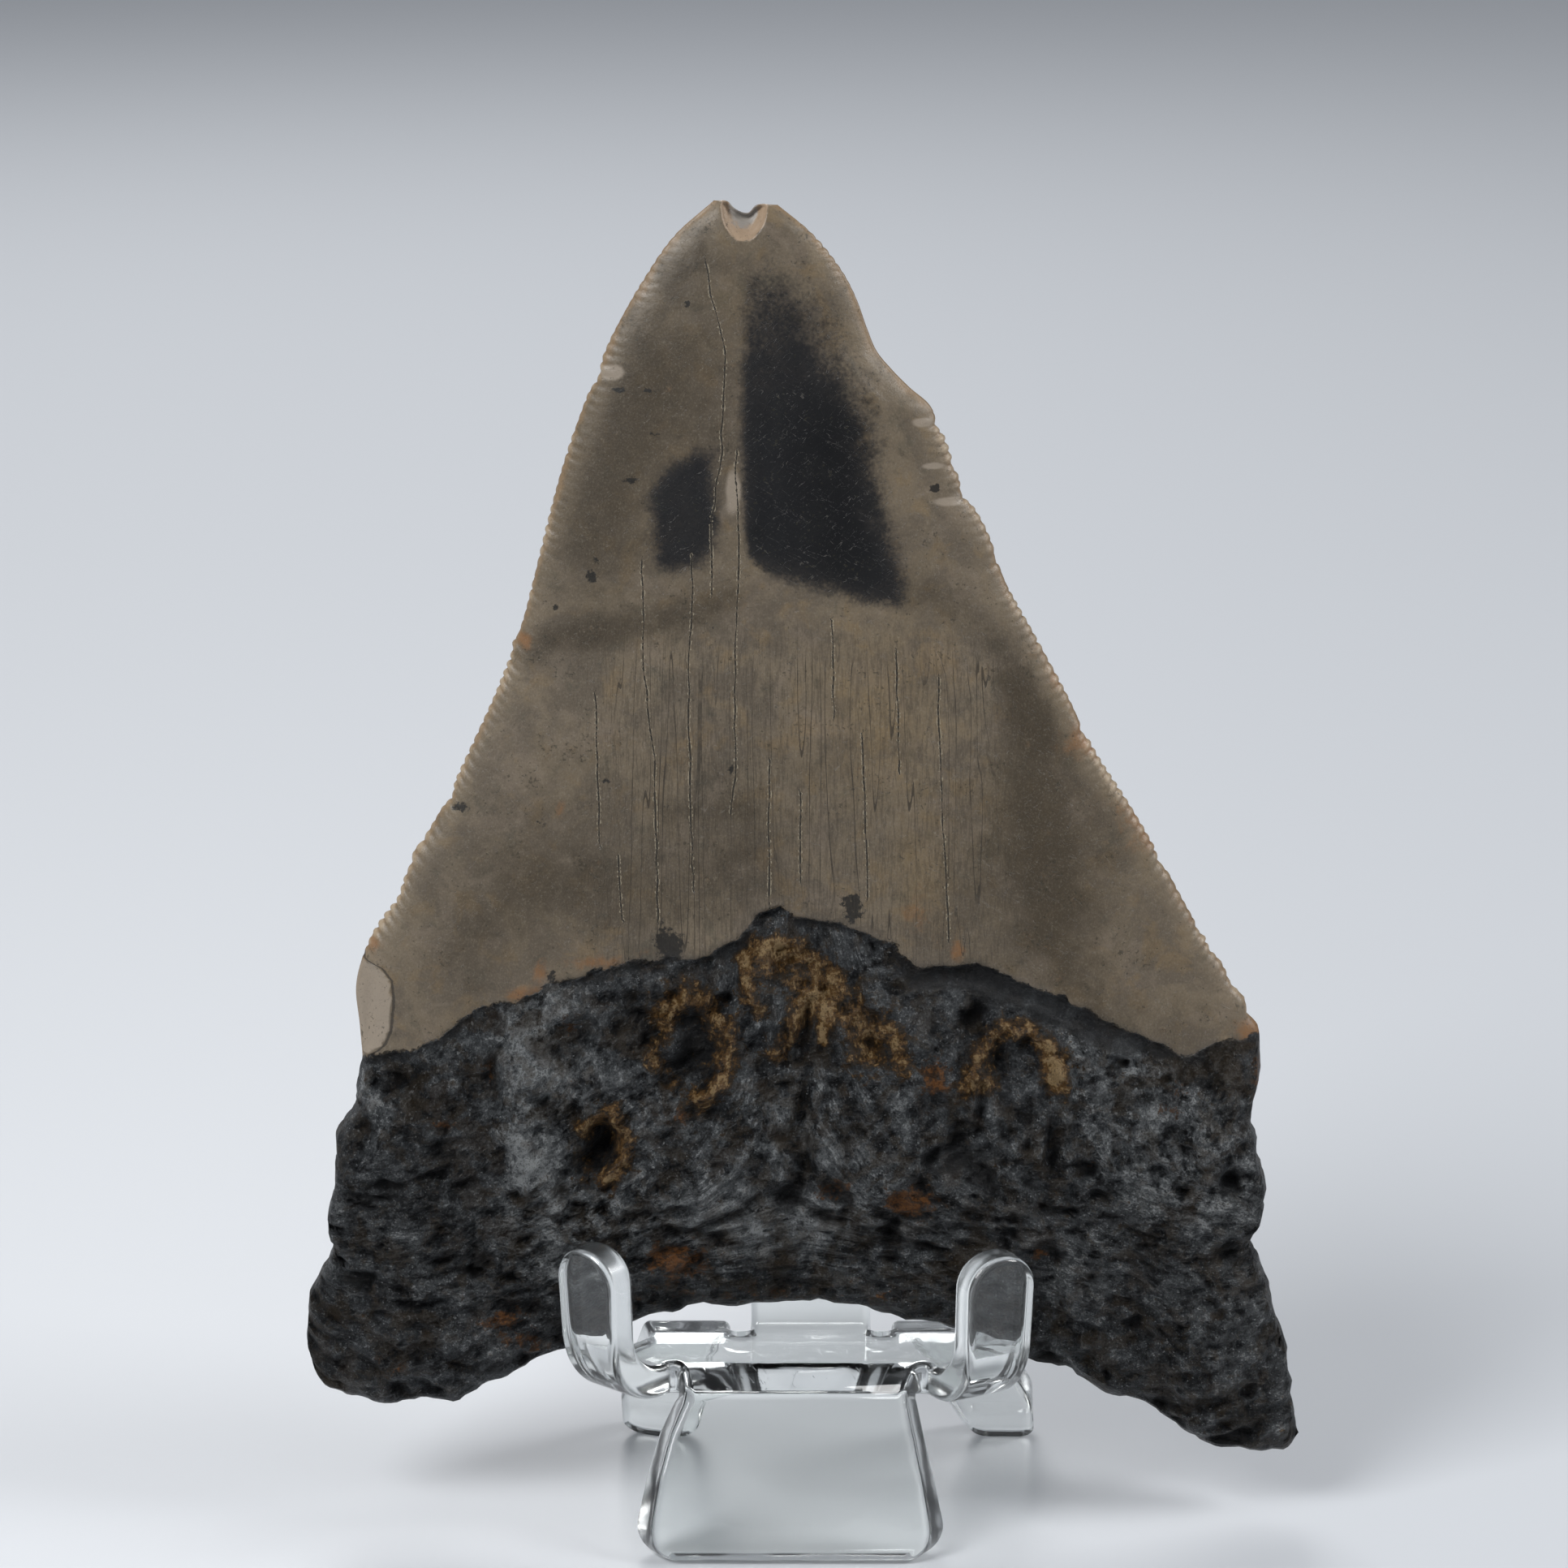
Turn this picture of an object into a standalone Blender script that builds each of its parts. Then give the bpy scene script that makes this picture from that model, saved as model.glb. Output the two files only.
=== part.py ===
"""A fossil megalodon tooth leaning on a clear easel that is bent from one acrylic sheet.

Run with: blender --background --python part.py

+Z is up, the displayed face of the tooth looks towards -Y and the origin is on the table, under the
middle of the whole thing. Lengths in this file are millimetres until a mesh is made; the scene is in
metres. The tooth is drawn in its own plane, x to the right and t up along the tooth, and that plane
then leans back on the easel.
"""

import bmesh
import bpy
import numpy as np

MM = 0.001

# ---- how the tooth stands ----
LEAN = np.radians(8.0)          # the tooth leans back by this much
LEDGE_TOP = 17.0                # height of the easel's ledge above the table
TOOTH_FOOT_Y = 1.9              # where the plane of the tooth meets the level of the ledge

# ---- tooth outline, (x, t) from the bottom up ----
LEFT_SIDE = [
    (-45.2, -1.3), (-45.6, 2.3), (-44.6, 5.9), (-43.1, 9.4), (-43.5, 12.1), (-42.8, 16.0),
    (-42.4, 19.5), (-40.1, 23.8), (-39.8, 28.0), (-40.5, 34.1), (-39.0, 38.5), (-34.4, 47.0),
    (-28.9, 57.7), (-24.4, 68.7), (-20.5, 83.4), (-15.9, 95.3), (-10.1, 104.5), (-6.5, 107.7),
]
RIGHT_SIDE = [
    (48.8, -9.4), (48.3, -3.4), (47.0, 2.6), (44.6, 8.8), (45.5, 13.0), (44.9, 19.2),
    (44.4, 22.3), (45.0, 26.5), (44.9, 30.1), (40.8, 36.9), (35.4, 46.2), (29.2, 56.2),
    (23.4, 67.3), (19.0, 76.8), (14.4, 86.9), (13.5, 88.9), (10.0, 92.1), (7.7, 95.9),
    (6.0, 100.1), (2.6, 104.8), (-0.6, 107.3),
]
ROOT_BASE = [
    (-45.2, -1.3), (-43.1, -4.9), (-37.7, -6.4), (-32.2, -5.8), (-27.1, -4.1), (-21.9, -1.8),
    (-17.4, 0.2), (-14.1, 1.8), (-9.0, 3.0), (1.0, 4.1), (10.8, 2.3), (19.5, 0.2), (22.6, -1.5),
    (26.4, -2.8), (35.0, -6.7), (38.9, -9.4), (43.7, -11.0), (47.6, -11.0), (48.8, -9.4),
]
TIP_EDGE = [(-6.5, 107.7), (-4.9, 107.5), (-3.2, 106.6), (-0.6, 107.3)]
ENAMEL_LINE = [
    (-46.0, 27.5), (-35.5, 28.0), (-28.4, 32.5), (-18.4, 35.8), (-7.0, 37.5), (-0.5, 42.2),
    (4.7, 41.0), (12.5, 36.8), (21.6, 35.5), (33.9, 29.6), (38.5, 27.8), (46.0, 30.0),
]

# ---- tooth thickness, (height t, depth) ----
FRONT_DEPTH = [
    (-12, 3.2), (2, 3.4), (9, 4.4), (17, 5.0), (32, 5.0), (44, 4.6), (70, 3.8), (92, 2.6), (108, 1.1),
]
BACK_DEPTH = [(-12, 5.5), (4, 6.5), (10, 7.0), (20, 8.5), (32, 10.0), (48, 10.5), (70, 8.4), (92, 5.0),
              (108, 1.3)]
BACK_BULGE = [(-12, 0), (8, 0.4), (16, 2.2), (26, 5.0), (33, 5.6), (42, 3.2), (55, 0.6), (70, 0)]
BULGE_HALF_WIDTH = 15.0
ROOT_SIDE_ROUND = 8.0
ROOT_BASE_ROUND = 9.0
TIP_ROUND = 3.0
EDGE_SHARE = 0.62               # how full the crown's section is: 1 is a parabola, lower is flatter
ENAMEL_FADE = 9.0               # the root's round flanks turn into the crown's sharp edges over this

# ---- relief on the displayed face: (x, t, radius x, radius t, height); below zero is a hollow ----
FRONT_RELIEF = [
    (-1.2, 35.5, 4.5, 4.0, 1.3), (6.8, 31.0, 4.0, 4.0, 1.0), (-7.6, 29.2, 3.2, 3.0, -0.9),
    (1.0, 29.0, 3.0, 2.6, 0.8), (13.6, 26.0, 3.2, 3.0, -0.8), (19.5, 28.5, 4.0, 3.2, 0.9),
    (-16.4, 18.5, 2.8, 3.0, -1.7), (-23.3, 22.5, 3.0, 8.0, 1.2), (-32.0, 17.0, 8.0, 8.0, -1.3),
    (30.0, 15.0, 9.0, 8.0, -1.4), (4.0, 8.5, 11.0, 3.0, -1.0), (24.6, 2.0, 3.0, 5.0, -1.5),
    (-36.0, 2.0, 6.0, 5.0, 1.2), (39.0, -1.0, 6.0, 6.0, 1.2), (12.0, 15.0, 6.0, 4.0, 0.9),
    (-8.0, 14.0, 6.0, 5.0, 0.8), (-38.2, 32.0, 2.6, 4.5, -1.0), (-4.0, 105.0, 3.5, 2.6, -1.0),
]
BACK_RELIEF = [
    (1.0, 30.0, 2.4, 2.8, -1.8), (-14.0, 20.0, 5.0, 6.0, -1.0), (17.0, 19.0, 5.0, 6.0, 1.0),
    (-30.0, 10.0, 8.0, 8.0, -1.0), (32.0, 6.0, 8.0, 9.0, 1.0), (-22.0, 36.0, 9.0, 3.0, 0.7),
    (22.0, 35.0, 9.0, 3.0, -0.7),
]

# ---- tooth mesh ----
COLUMNS = 28
ROWS = 44
EDGE_STEPS = 6                  # fine steps along the rim for each coarse one
SERRATION = 0.22                # how far each serration stands out, at a pitch of two fine steps
SIDE_INSET = 0.022
END_INSET = 0.013

# ---- easel sheet, drawn flat, (x, y) with the ledge where it stands ----
SHEET = 3.3
ARM_WIDTH = 6.5
ARM_LENGTH = 19.2
LEFT_CORNER = (-9.6, -3.35)     # where the left arm's front edge leaves the ledge
RIGHT_CORNER = (12.6, -3.35)
LEFT_ARM_TURN = np.radians(41.0)
RIGHT_ARM_TURN = np.radians(28.0)
ARM_BEND_AT = 2.3               # distance along the arm at which its bend starts
LEG_BEND_Y = -4.2
LEG_MIDDLE_X = 0.9
LEG_TAPER = 0.12                # the leg's cut sides slope, so its front face is this much narrower
REST_BEND_Y = 5.0
REST_LEFT_X = -3.2
REST_RIGHT_X = 8.3
REST_END_Y = 45.5
SLOT_WIDTH = 1.95
SLOT_END_Y = 3.9
REAR_BEND_Y = 5.2
REAR_END_Y = 27.5
LEFT_FOOT_TWIST = np.radians(-20.0)
LEFT_FOOT_MIDDLE_X = -12.0
LEG_TAPER_RUN = 3.0             # the leg's slope and the foot's twist set in over these lengths
FOOT_TWIST_RUN = 20.0

# bends: (inner radius, angle), positive turns the sheet up
ARM_BEND = (4.0, np.radians(88.0))
LEG_BEND = (0.7, np.radians(-70.0))
REST_BEND = (2.0, np.radians(59.5))
REAR_BEND = (1.5, np.radians(-50.0))
BEND_CUTS = 6


def smooth_curve(points, count=600):
    """Evenly spaced points on a smooth curve: a cubic between each two points, whose slope at a
    point comes from its neighbours."""
    knots = np.array(points, float)
    reach = np.concatenate([[0.0], np.cumsum(np.linalg.norm(np.diff(knots, axis=0), axis=1))])
    slope = np.gradient(knots, reach, axis=0)
    place = np.linspace(0.0, reach[-1], 40 * len(knots))
    span = np.clip(np.searchsorted(reach, place, side="right") - 1, 0, len(knots) - 2)
    width = (reach[span + 1] - reach[span])[:, None]
    s = (place - reach[span])[:, None] / width
    fine = (
        (2 * s**3 - 3 * s**2 + 1) * knots[span]
        + (s**3 - 2 * s**2 + s) * width * slope[span]
        + (3 * s**2 - 2 * s**3) * knots[span + 1]
        + (s**3 - s**2) * width * slope[span + 1]
    )
    run = np.concatenate([[0.0], np.cumsum(np.linalg.norm(np.diff(fine, axis=0), axis=1))])
    even = np.linspace(0.0, run[-1], count)
    return np.column_stack([np.interp(even, run, fine[:, 0]), np.interp(even, run, fine[:, 1])])


def along(curve, share):
    """The points at shares 0 to 1 of an evenly sampled curve."""
    steps = np.linspace(0.0, 1.0, len(curve))
    return np.stack([np.interp(share, steps, curve[:, k]) for k in (0, 1)], axis=-1)


def ease(value):
    """0 below 0, 1 above 1, and a smooth step between."""
    value = np.clip(value, 0.0, 1.0)
    return value * value * (3.0 - 2.0 * value)


def roll(distance, radius):
    """A quarter circle: 0 at the edge, 1 from the radius inwards."""
    return np.sqrt(1.0 - (1.0 - np.clip(distance / radius, 0.0, 1.0)) ** 2)


LEFT_CURVE = smooth_curve(LEFT_SIDE)
RIGHT_CURVE = smooth_curve(RIGHT_SIDE)
BASE_CURVE = smooth_curve(ROOT_BASE)
TIP_CURVE = smooth_curve(TIP_EDGE)


def outline_patch(u, v):
    """The place in the tooth's plane at share u across and v up: the four sides of the outline
    blended into each other, less what the corners would count twice."""
    u = np.asarray(u, float)
    v = np.asarray(v, float)
    a, b = u[..., None], v[..., None]
    sides = (1 - a) * along(LEFT_CURVE, v) + a * along(RIGHT_CURVE, v)
    ends = (1 - b) * along(BASE_CURVE, u) + b * along(TIP_CURVE, u)
    corners = (
        (1 - a) * (1 - b) * BASE_CURVE[0] + a * (1 - b) * BASE_CURVE[-1]
        + (1 - a) * b * TIP_CURVE[0] + a * b * TIP_CURVE[-1]
    )
    return sides + ends - corners


def read_depth(table, t):
    heights, depths = zip(*table)
    return np.interp(t, heights, depths)


def relief(table, x, t):
    """The sum of round bumps and hollows."""
    total = np.zeros_like(x)
    for bump_x, bump_t, radius_x, radius_t, height in table:
        total += height * np.exp(-(((x - bump_x) / radius_x) ** 2) - ((t - bump_t) / radius_t) ** 2)
    return total


def tooth_depths(u, v):
    """In-plane place, and how far the front and the back stand off the tooth's plane."""
    place = outline_patch(u, v)
    x, t = place[..., 0], place[..., 1]
    width = np.linalg.norm(along(RIGHT_CURVE, v) - along(LEFT_CURVE, v), axis=-1)
    from_side = np.minimum(u, 1 - u) * width
    from_base = np.linalg.norm(place - along(BASE_CURVE, u), axis=-1)
    from_tip = np.linalg.norm(place - along(TIP_CURVE, u), axis=-1)
    enamel = read_depth(ENAMEL_LINE, x)
    crown = ease((t - enamel + ENAMEL_FADE) / ENAMEL_FADE)
    crown_section = (1 - (2 * u - 1) ** 2) ** EDGE_SHARE
    root_section = roll(from_side, ROOT_SIDE_ROUND)
    section = crown * crown_section + (1 - crown) * root_section
    section = section * roll(from_base, ROOT_BASE_ROUND) * roll(from_tip, TIP_ROUND)
    middle = np.exp(-((x - 1.0) / BULGE_HALF_WIDTH) ** 2)
    front = section * (read_depth(FRONT_DEPTH, t) + relief(FRONT_RELIEF, x, t))
    back = section * (
        read_depth(BACK_DEPTH, t) + middle * read_depth(BACK_BULGE, t) + relief(BACK_RELIEF, x, t)
    )
    return place, front, back


def stand_up(place, depth):
    """A place in the tooth's plane, and a depth behind it, as a point over the table."""
    x, t = place[..., 0], place[..., 1]
    y = TOOTH_FOOT_Y + t * np.sin(LEAN) + depth * np.cos(LEAN)
    z = LEDGE_TOP + t * np.cos(LEAN) - depth * np.sin(LEAN)
    return np.stack([x, y, z], axis=-1)


def rim_shares():
    """Shares (u, v) all the way round the outline, with the fine steps of the rim."""
    up = np.linspace(0, 1, ROWS * EDGE_STEPS + 1)[:-1]
    over = np.linspace(0, 1, COLUMNS * EDGE_STEPS + 1)[:-1]
    u = np.concatenate([np.zeros_like(up), over, np.ones_like(up), 1 - over])
    v = np.concatenate([up, np.ones_like(over), 1 - up, np.zeros_like(over)])
    return u, v


def serrated_rim():
    """The outline, with every second point of the crown's two cutting edges pushed out."""
    u, v = rim_shares()
    place = outline_patch(u, v)
    ahead = np.roll(place, -1, axis=0) - np.roll(place, 1, axis=0)
    ahead /= np.linalg.norm(ahead, axis=1)[:, None]
    outward = np.column_stack([-ahead[:, 1], ahead[:, 0]])
    on_side = (u == 0) | (u == 1)
    on_crown = ease((place[:, 1] - read_depth(ENAMEL_LINE, place[:, 0]) - 3.0) / 4.0)
    not_tip = ease((104.0 - place[:, 1]) / 4.0)
    tooth_out = np.where(np.arange(len(u)) % 2 == 0, 1.0, -1.0) * on_side * on_crown * not_tip
    return place + 0.5 * SERRATION * tooth_out[:, None] * outward


def grid_loop(first):
    """Vertex numbers round the border of a grid whose first vertex is number first."""
    number = first + np.arange((ROWS + 1) * (COLUMNS + 1)).reshape(ROWS + 1, COLUMNS + 1)
    return number, np.concatenate(
        [number[:-1, 0], number[-1, :-1], number[:0:-1, -1], number[0, :0:-1]]
    )


def loop_faces(coarse, fine):
    """Triangles between a coarse loop and a fine one that has EDGE_STEPS points for each of its."""
    count = len(coarse)
    step = np.arange(count * EDGE_STEPS)
    cell = step // EDGE_STEPS
    late = (step % EDGE_STEPS) >= EDGE_STEPS // 2
    near = coarse[(cell + late) % count]
    fans = np.column_stack([fine[step], fine[(step + 1) % len(fine)], near])
    start = np.arange(count)
    wedges = np.column_stack(
        [coarse[start], fine[start * EDGE_STEPS + EDGE_STEPS // 2], coarse[(start + 1) % count]]
    )
    return [tuple(face) for face in np.vstack([fans, wedges]).tolist()]


def add_mesh(name, points_mm, faces, material):
    """An object made of points in millimetres, with its faces turned outwards."""
    mesh = bpy.data.meshes.new(name)
    mesh.from_pydata((np.asarray(points_mm) * MM).tolist(), [], faces)
    work = bmesh.new()
    work.from_mesh(mesh)
    bmesh.ops.recalc_face_normals(work, faces=work.faces)
    bmesh.ops.triangulate(work, faces=work.faces)
    work.to_mesh(mesh)
    work.free()
    mesh.materials.append(material)
    mesh.shade_smooth()
    mesh.set_sharp_from_angle(angle=np.radians(40))
    made = bpy.data.objects.new(name, mesh)
    bpy.context.collection.objects.link(made)
    return made


def make_tooth(material):
    """Front grid, back grid and the serrated rim that closes them."""
    u, v = np.meshgrid(
        np.linspace(SIDE_INSET, 1 - SIDE_INSET, COLUMNS + 1), np.linspace(END_INSET, 1 - END_INSET, ROWS + 1)
    )
    place, front, back = tooth_depths(u, v)
    rim = serrated_rim()
    points = np.vstack([
        stand_up(place, -front).reshape(-1, 3),
        stand_up(place, back).reshape(-1, 3),
        stand_up(rim, np.zeros(len(rim))),
    ])
    grid_size = (ROWS + 1) * (COLUMNS + 1)
    rim_numbers = 2 * grid_size + np.arange(len(rim))
    faces = []
    for first in (0, grid_size):
        number, border = grid_loop(first)
        cells = np.stack([number[:-1, :-1], number[:-1, 1:], number[1:, 1:], number[1:, :-1]], axis=-1)
        cells = cells.reshape(-1, 4)
        faces += [tuple(cell) for cell in (cells if first == 0 else cells[:, ::-1]).tolist()]
        strip = loop_faces(border, rim_numbers)
        faces += strip if first == 0 else [face[::-1] for face in strip]
    return add_mesh("tooth", points, faces, material)


def arm_axes(corner, turn, side):
    """An arm's corner, the way it runs out, and the way across it towards the front leg."""
    out = np.array([side * np.sin(turn), -np.cos(turn)])
    across = np.array([-side * np.cos(turn), -np.sin(turn)])
    return np.array(corner), out, across


LEFT_ARM = arm_axes(LEFT_CORNER, LEFT_ARM_TURN, -1)
RIGHT_ARM = arm_axes(RIGHT_CORNER, RIGHT_ARM_TURN, 1)


def arm_corners(arm):
    """Front edge end, back edge end and back edge start of an arm."""
    corner, out, across = arm
    front_end = corner + out * ARM_LENGTH
    back_end = front_end - across * ARM_WIDTH
    return front_end, back_end


def flat_outline():
    """The sheet's outline, anticlockwise from above: (x, y, corner radius)."""
    tip_radius = 0.495 * ARM_WIDTH
    right_front, right_back = arm_corners(RIGHT_ARM)
    left_front, left_back = arm_corners(LEFT_ARM)
    slot_round = 0.49 * SLOT_WIDTH
    rest_round = 0.49 * (REST_RIGHT_X - REST_LEFT_X)
    return [
        (-14.8, -23.0, 3.5), (15.9, -23.0, 3.5), (15.2, -18.0, 6.0), (14.4, -14.0, 8.0),
        (13.4, -10.0, 4.0), (12.6, -6.4, 2.0), (*RIGHT_CORNER, 0.5),
        (*right_front, tip_radius), (*right_back, tip_radius), (16.9, 2.6, 1.6),
        (21.2, 9.0, 6.0), (24.4, 18.0, 6.0), (24.8, REAR_END_Y, 0.8),
        (18.8, REAR_END_Y, 2.0), (15.9, 18.0, 6.0), (REST_RIGHT_X + SLOT_WIDTH, 6.5, 3.0),
        (REST_RIGHT_X + SLOT_WIDTH, SLOT_END_Y, slot_round), (REST_RIGHT_X, SLOT_END_Y, slot_round),
        (REST_RIGHT_X, REST_END_Y, rest_round), (REST_LEFT_X, REST_END_Y, rest_round),
        (REST_LEFT_X, SLOT_END_Y, slot_round), (REST_LEFT_X - SLOT_WIDTH, SLOT_END_Y, slot_round),
        (REST_LEFT_X - SLOT_WIDTH, 7.0, 3.0), (-7.9, 18.0, 6.0), (-9.2, REAR_END_Y, 3.4),
        (-16.0, REAR_END_Y, 2.6), (-16.0, 18.0, 6.0), (-12.8, 2.6, 1.6),
        (*left_back, tip_radius), (*left_front, tip_radius), (*LEFT_CORNER, 0.5),
        (-10.2, -6.4, 1.0), (-12.0, -10.0, 3.0), (-13.2, -14.0, 5.0), (-14.1, -18.0, 5.0),
    ]


def round_corners(corners, steps=5):
    """The outline with each corner turned into an arc of its radius."""
    points = []
    for index, (x, y, radius) in enumerate(corners):
        here = np.array([x, y])
        back = np.array(corners[index - 1][:2]) - here
        ahead = np.array(corners[(index + 1) % len(corners)][:2]) - here
        back /= np.linalg.norm(back)
        ahead /= np.linalg.norm(ahead)
        half = 0.5 * np.arccos(np.clip(back @ ahead, -1, 1))
        if np.pi / 2 - half < 0.04:
            points.append(here)
            continue
        middle = (back + ahead) / np.linalg.norm(back + ahead)
        centre = here + middle * radius / np.sin(half)
        start = here + back * radius / np.tan(half) - centre
        end = here + ahead * radius / np.tan(half) - centre
        sweep = np.arctan2(start[0] * end[1] - start[1] * end[0], start @ end)
        parts = max(2, int(np.ceil(steps * abs(sweep) / (np.pi / 2))))
        angles = np.linspace(0, sweep, parts + 1)
        for angle in angles:
            turn = np.array([[np.cos(angle), -np.sin(angle)], [np.sin(angle), np.cos(angle)]])
            points.append(centre + turn @ start)
    return points


def regions():
    """Each bent stretch of the sheet: which points belong, where its bend starts, the way out,
    and the bend itself."""
    def arm_test(arm):
        corner, _, across = arm
        return lambda p: (p - corner) @ across < 0.05

    down = np.array([0.0, -1.0])
    up = np.array([0.0, 1.0])
    left_start = LEFT_ARM[0] + ARM_BEND_AT * LEFT_ARM[1]
    right_start = RIGHT_ARM[0] + ARM_BEND_AT * RIGHT_ARM[1]
    return [
        ("left arm", lambda p: arm_test(LEFT_ARM)(p) & (p[..., 0] < 0) & (p[..., 1] < 5),
         left_start, LEFT_ARM[1], ARM_BEND),
        ("right arm", lambda p: arm_test(RIGHT_ARM)(p) & (p[..., 0] > 0) & (p[..., 1] < 5),
         right_start, RIGHT_ARM[1], ARM_BEND),
        ("leg", lambda p: ~arm_test(LEFT_ARM)(p) & ~arm_test(RIGHT_ARM)(p) & (p[..., 1] < 0),
         np.array([0.0, LEG_BEND_Y]), down, LEG_BEND),
        ("rest", lambda p: (p[..., 0] > REST_LEFT_X - 0.1) & (p[..., 0] < REST_RIGHT_X + 0.1),
         np.array([0.0, REST_BEND_Y]), up, REST_BEND),
        ("rear", lambda p: (p[..., 0] < REST_LEFT_X - 0.1) | (p[..., 0] > REST_RIGHT_X + 0.1),
         np.array([0.0, REAR_BEND_Y]), up, REAR_BEND),
    ]


def bend_sheet(flat, height):
    """Flat sheet points, at a height above its middle, rolled round each bend and then straight on."""
    flat = np.asarray(flat, float)
    height = np.asarray(height, float)
    middle_z = LEDGE_TOP - 0.5 * SHEET
    x, y = flat[:, 0].copy(), flat[:, 1].copy()
    z = middle_z + height
    for name, belongs, start, out, (inner, angle) in regions():
        run = (flat - start) @ out
        inside = belongs(flat) & (run > 0)
        radius = inner + 0.5 * SHEET
        turn = np.minimum(run / radius, abs(angle))
        rest = run - turn * radius
        sign = np.sign(angle)
        forward = radius * np.sin(turn) + rest * np.cos(turn) - sign * height * np.sin(turn)
        rise = sign * (radius * (1 - np.cos(turn)) + rest * np.sin(turn)) + height * np.cos(turn)
        across = flat - run[:, None] * out
        moved = across + forward[:, None] * out
        if name == "leg":
            narrow = 1 - LEG_TAPER * (height / SHEET + 0.5) * ease(run / LEG_TAPER_RUN)
            moved[:, 0] = LEG_MIDDLE_X + (moved[:, 0] - LEG_MIDDLE_X) * narrow
        if name == "rear":
            twist = np.where(flat[:, 0] < 0, LEFT_FOOT_TWIST, 0.0) * ease(run / FOOT_TWIST_RUN)
            pivot = np.column_stack([np.full(len(flat), LEFT_FOOT_MIDDLE_X), moved[:, 1]])
            pivot[:, 1] = REAR_BEND_Y + radius * np.sin(turn) + rest * np.cos(turn)
            arm = moved - pivot
            moved = pivot + np.column_stack([
                arm[:, 0] * np.cos(twist) - arm[:, 1] * np.sin(twist),
                arm[:, 0] * np.sin(twist) + arm[:, 1] * np.cos(twist),
            ])
        x = np.where(inside, moved[:, 0], x)
        y = np.where(inside, moved[:, 1], y)
        z = np.where(inside, middle_z + rise, z)
    return np.column_stack([x, y, z])


def cut_flat_sheet():
    """The flat sheet as a bmesh, cut across where each bend needs faces."""
    work = bmesh.new()
    corners = [work.verts.new((x, y, 0.0)) for x, y in round_corners(flat_outline())]
    work.faces.new(corners)
    for _, belongs, start, out, (inner, angle) in regions():
        def is_bent(face):
            flat = np.array([vert.co.xy for vert in face.verts])
            return np.any(belongs(flat) & ((flat - start) @ out > 0))

        length = (inner + 0.5 * SHEET) * abs(angle)
        for share in np.linspace(0, 1, BEND_CUTS + 1):
            place = start + out * length * share
            mine = [face for face in work.faces if is_bent(face)]
            edges = {edge for face in mine for edge in face.edges}
            verts = {vert for face in mine for vert in face.verts}
            bmesh.ops.bisect_plane(
                work, geom=mine + list(edges) + list(verts), dist=1e-4,
                plane_co=(*place, 0.0), plane_no=(*out, 0.0),
            )
    bmesh.ops.triangulate(work, faces=work.faces)
    return work


def make_stand(material):
    """The sheet given its thickness, bent, and cut level at the feet."""
    flat = cut_flat_sheet()
    flat.verts.index_update()
    places = np.array([vert.co.xy for vert in flat.verts])
    count = len(places)
    faces = [tuple(vert.index for vert in face.verts) for face in flat.faces]
    rims = [
        tuple(vert.index for vert in edge.verts) for edge in flat.edges if len(edge.link_faces) == 1
    ]
    flat.free()
    points = np.vstack([
        bend_sheet(places, np.full(count, 0.5 * SHEET)), bend_sheet(places, np.full(count, -0.5 * SHEET))
    ])
    under = [tuple(index + count for index in face[::-1]) for face in faces]
    walls = [(a, b, b + count, a + count) for a, b in rims]
    stand = add_mesh("display_stand", points, faces + under + walls, material)
    work = bmesh.new()
    work.from_mesh(stand.data)
    bmesh.ops.bisect_plane(
        work, geom=work.verts[:] + work.edges[:] + work.faces[:], dist=1e-7,
        plane_co=(0, 0, 0), plane_no=(0, 0, 1), clear_inner=True,
    )
    open_edges = [edge for edge in work.edges if edge.is_boundary]
    bmesh.ops.holes_fill(work, edges=open_edges, sides=0)
    bmesh.ops.recalc_face_normals(work, faces=work.faces)
    bmesh.ops.triangulate(work, faces=work.faces)
    work.to_mesh(stand.data)
    work.free()
    stand.data.set_sharp_from_angle(angle=np.radians(40))
    return stand


def make_material(name, colour, roughness, alpha=1.0):
    material = bpy.data.materials.new(name)
    material.use_nodes = True
    shader = material.node_tree.nodes["Principled BSDF"]
    shader.inputs["Base Color"].default_value = (*colour, 1.0)
    shader.inputs["Roughness"].default_value = roughness
    shader.inputs["Metallic"].default_value = 0.0
    shader.inputs["Alpha"].default_value = alpha
    return material


def centre_over_origin(pieces):
    """Move the meshes so that the middle of their common box is over the origin."""
    places = np.vstack([np.array([vert.co[:] for vert in piece.data.vertices]) for piece in pieces])
    low, high = places.min(axis=0), places.max(axis=0)
    shift = np.array([-(low[0] + high[0]) / 2, -(low[1] + high[1]) / 2, 0.0])
    for piece in pieces:
        for vert in piece.data.vertices:
            vert.co = vert.co[:] + shift
    print("box in mm", np.round((high - low) * 1000, 2), "shift in mm", np.round(shift * 1000, 3))


def main():
    for old in list(bpy.data.objects):
        bpy.data.objects.remove(old, do_unlink=True)
    fossil = make_material("fossil_tooth", (0.11, 0.095, 0.08), 0.45)
    acrylic = make_material("clear_acrylic", (0.85, 0.90, 0.92), 0.05, 0.35)
    centre_over_origin([make_tooth(fossil), make_stand(acrylic)])


main()
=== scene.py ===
# %% [markdown]
# # A fossil megalodon tooth on a clear easel
#
# The tooth is one natural piece: a satin enamel crown that grew out of a rough, porous root, and that
# minerals in the ground have stained. It leans back on a small easel, which is cut from one clear
# acrylic sheet and bent hot. Both are made here as surfaces that numpy computes, and they take the
# place of two plain CAD solids.
#
# The CAD solids come first. They are a fixed frame in metres, +Z up, with the origin on the table,
# and each new piece has to stay where its solid is.

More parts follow.
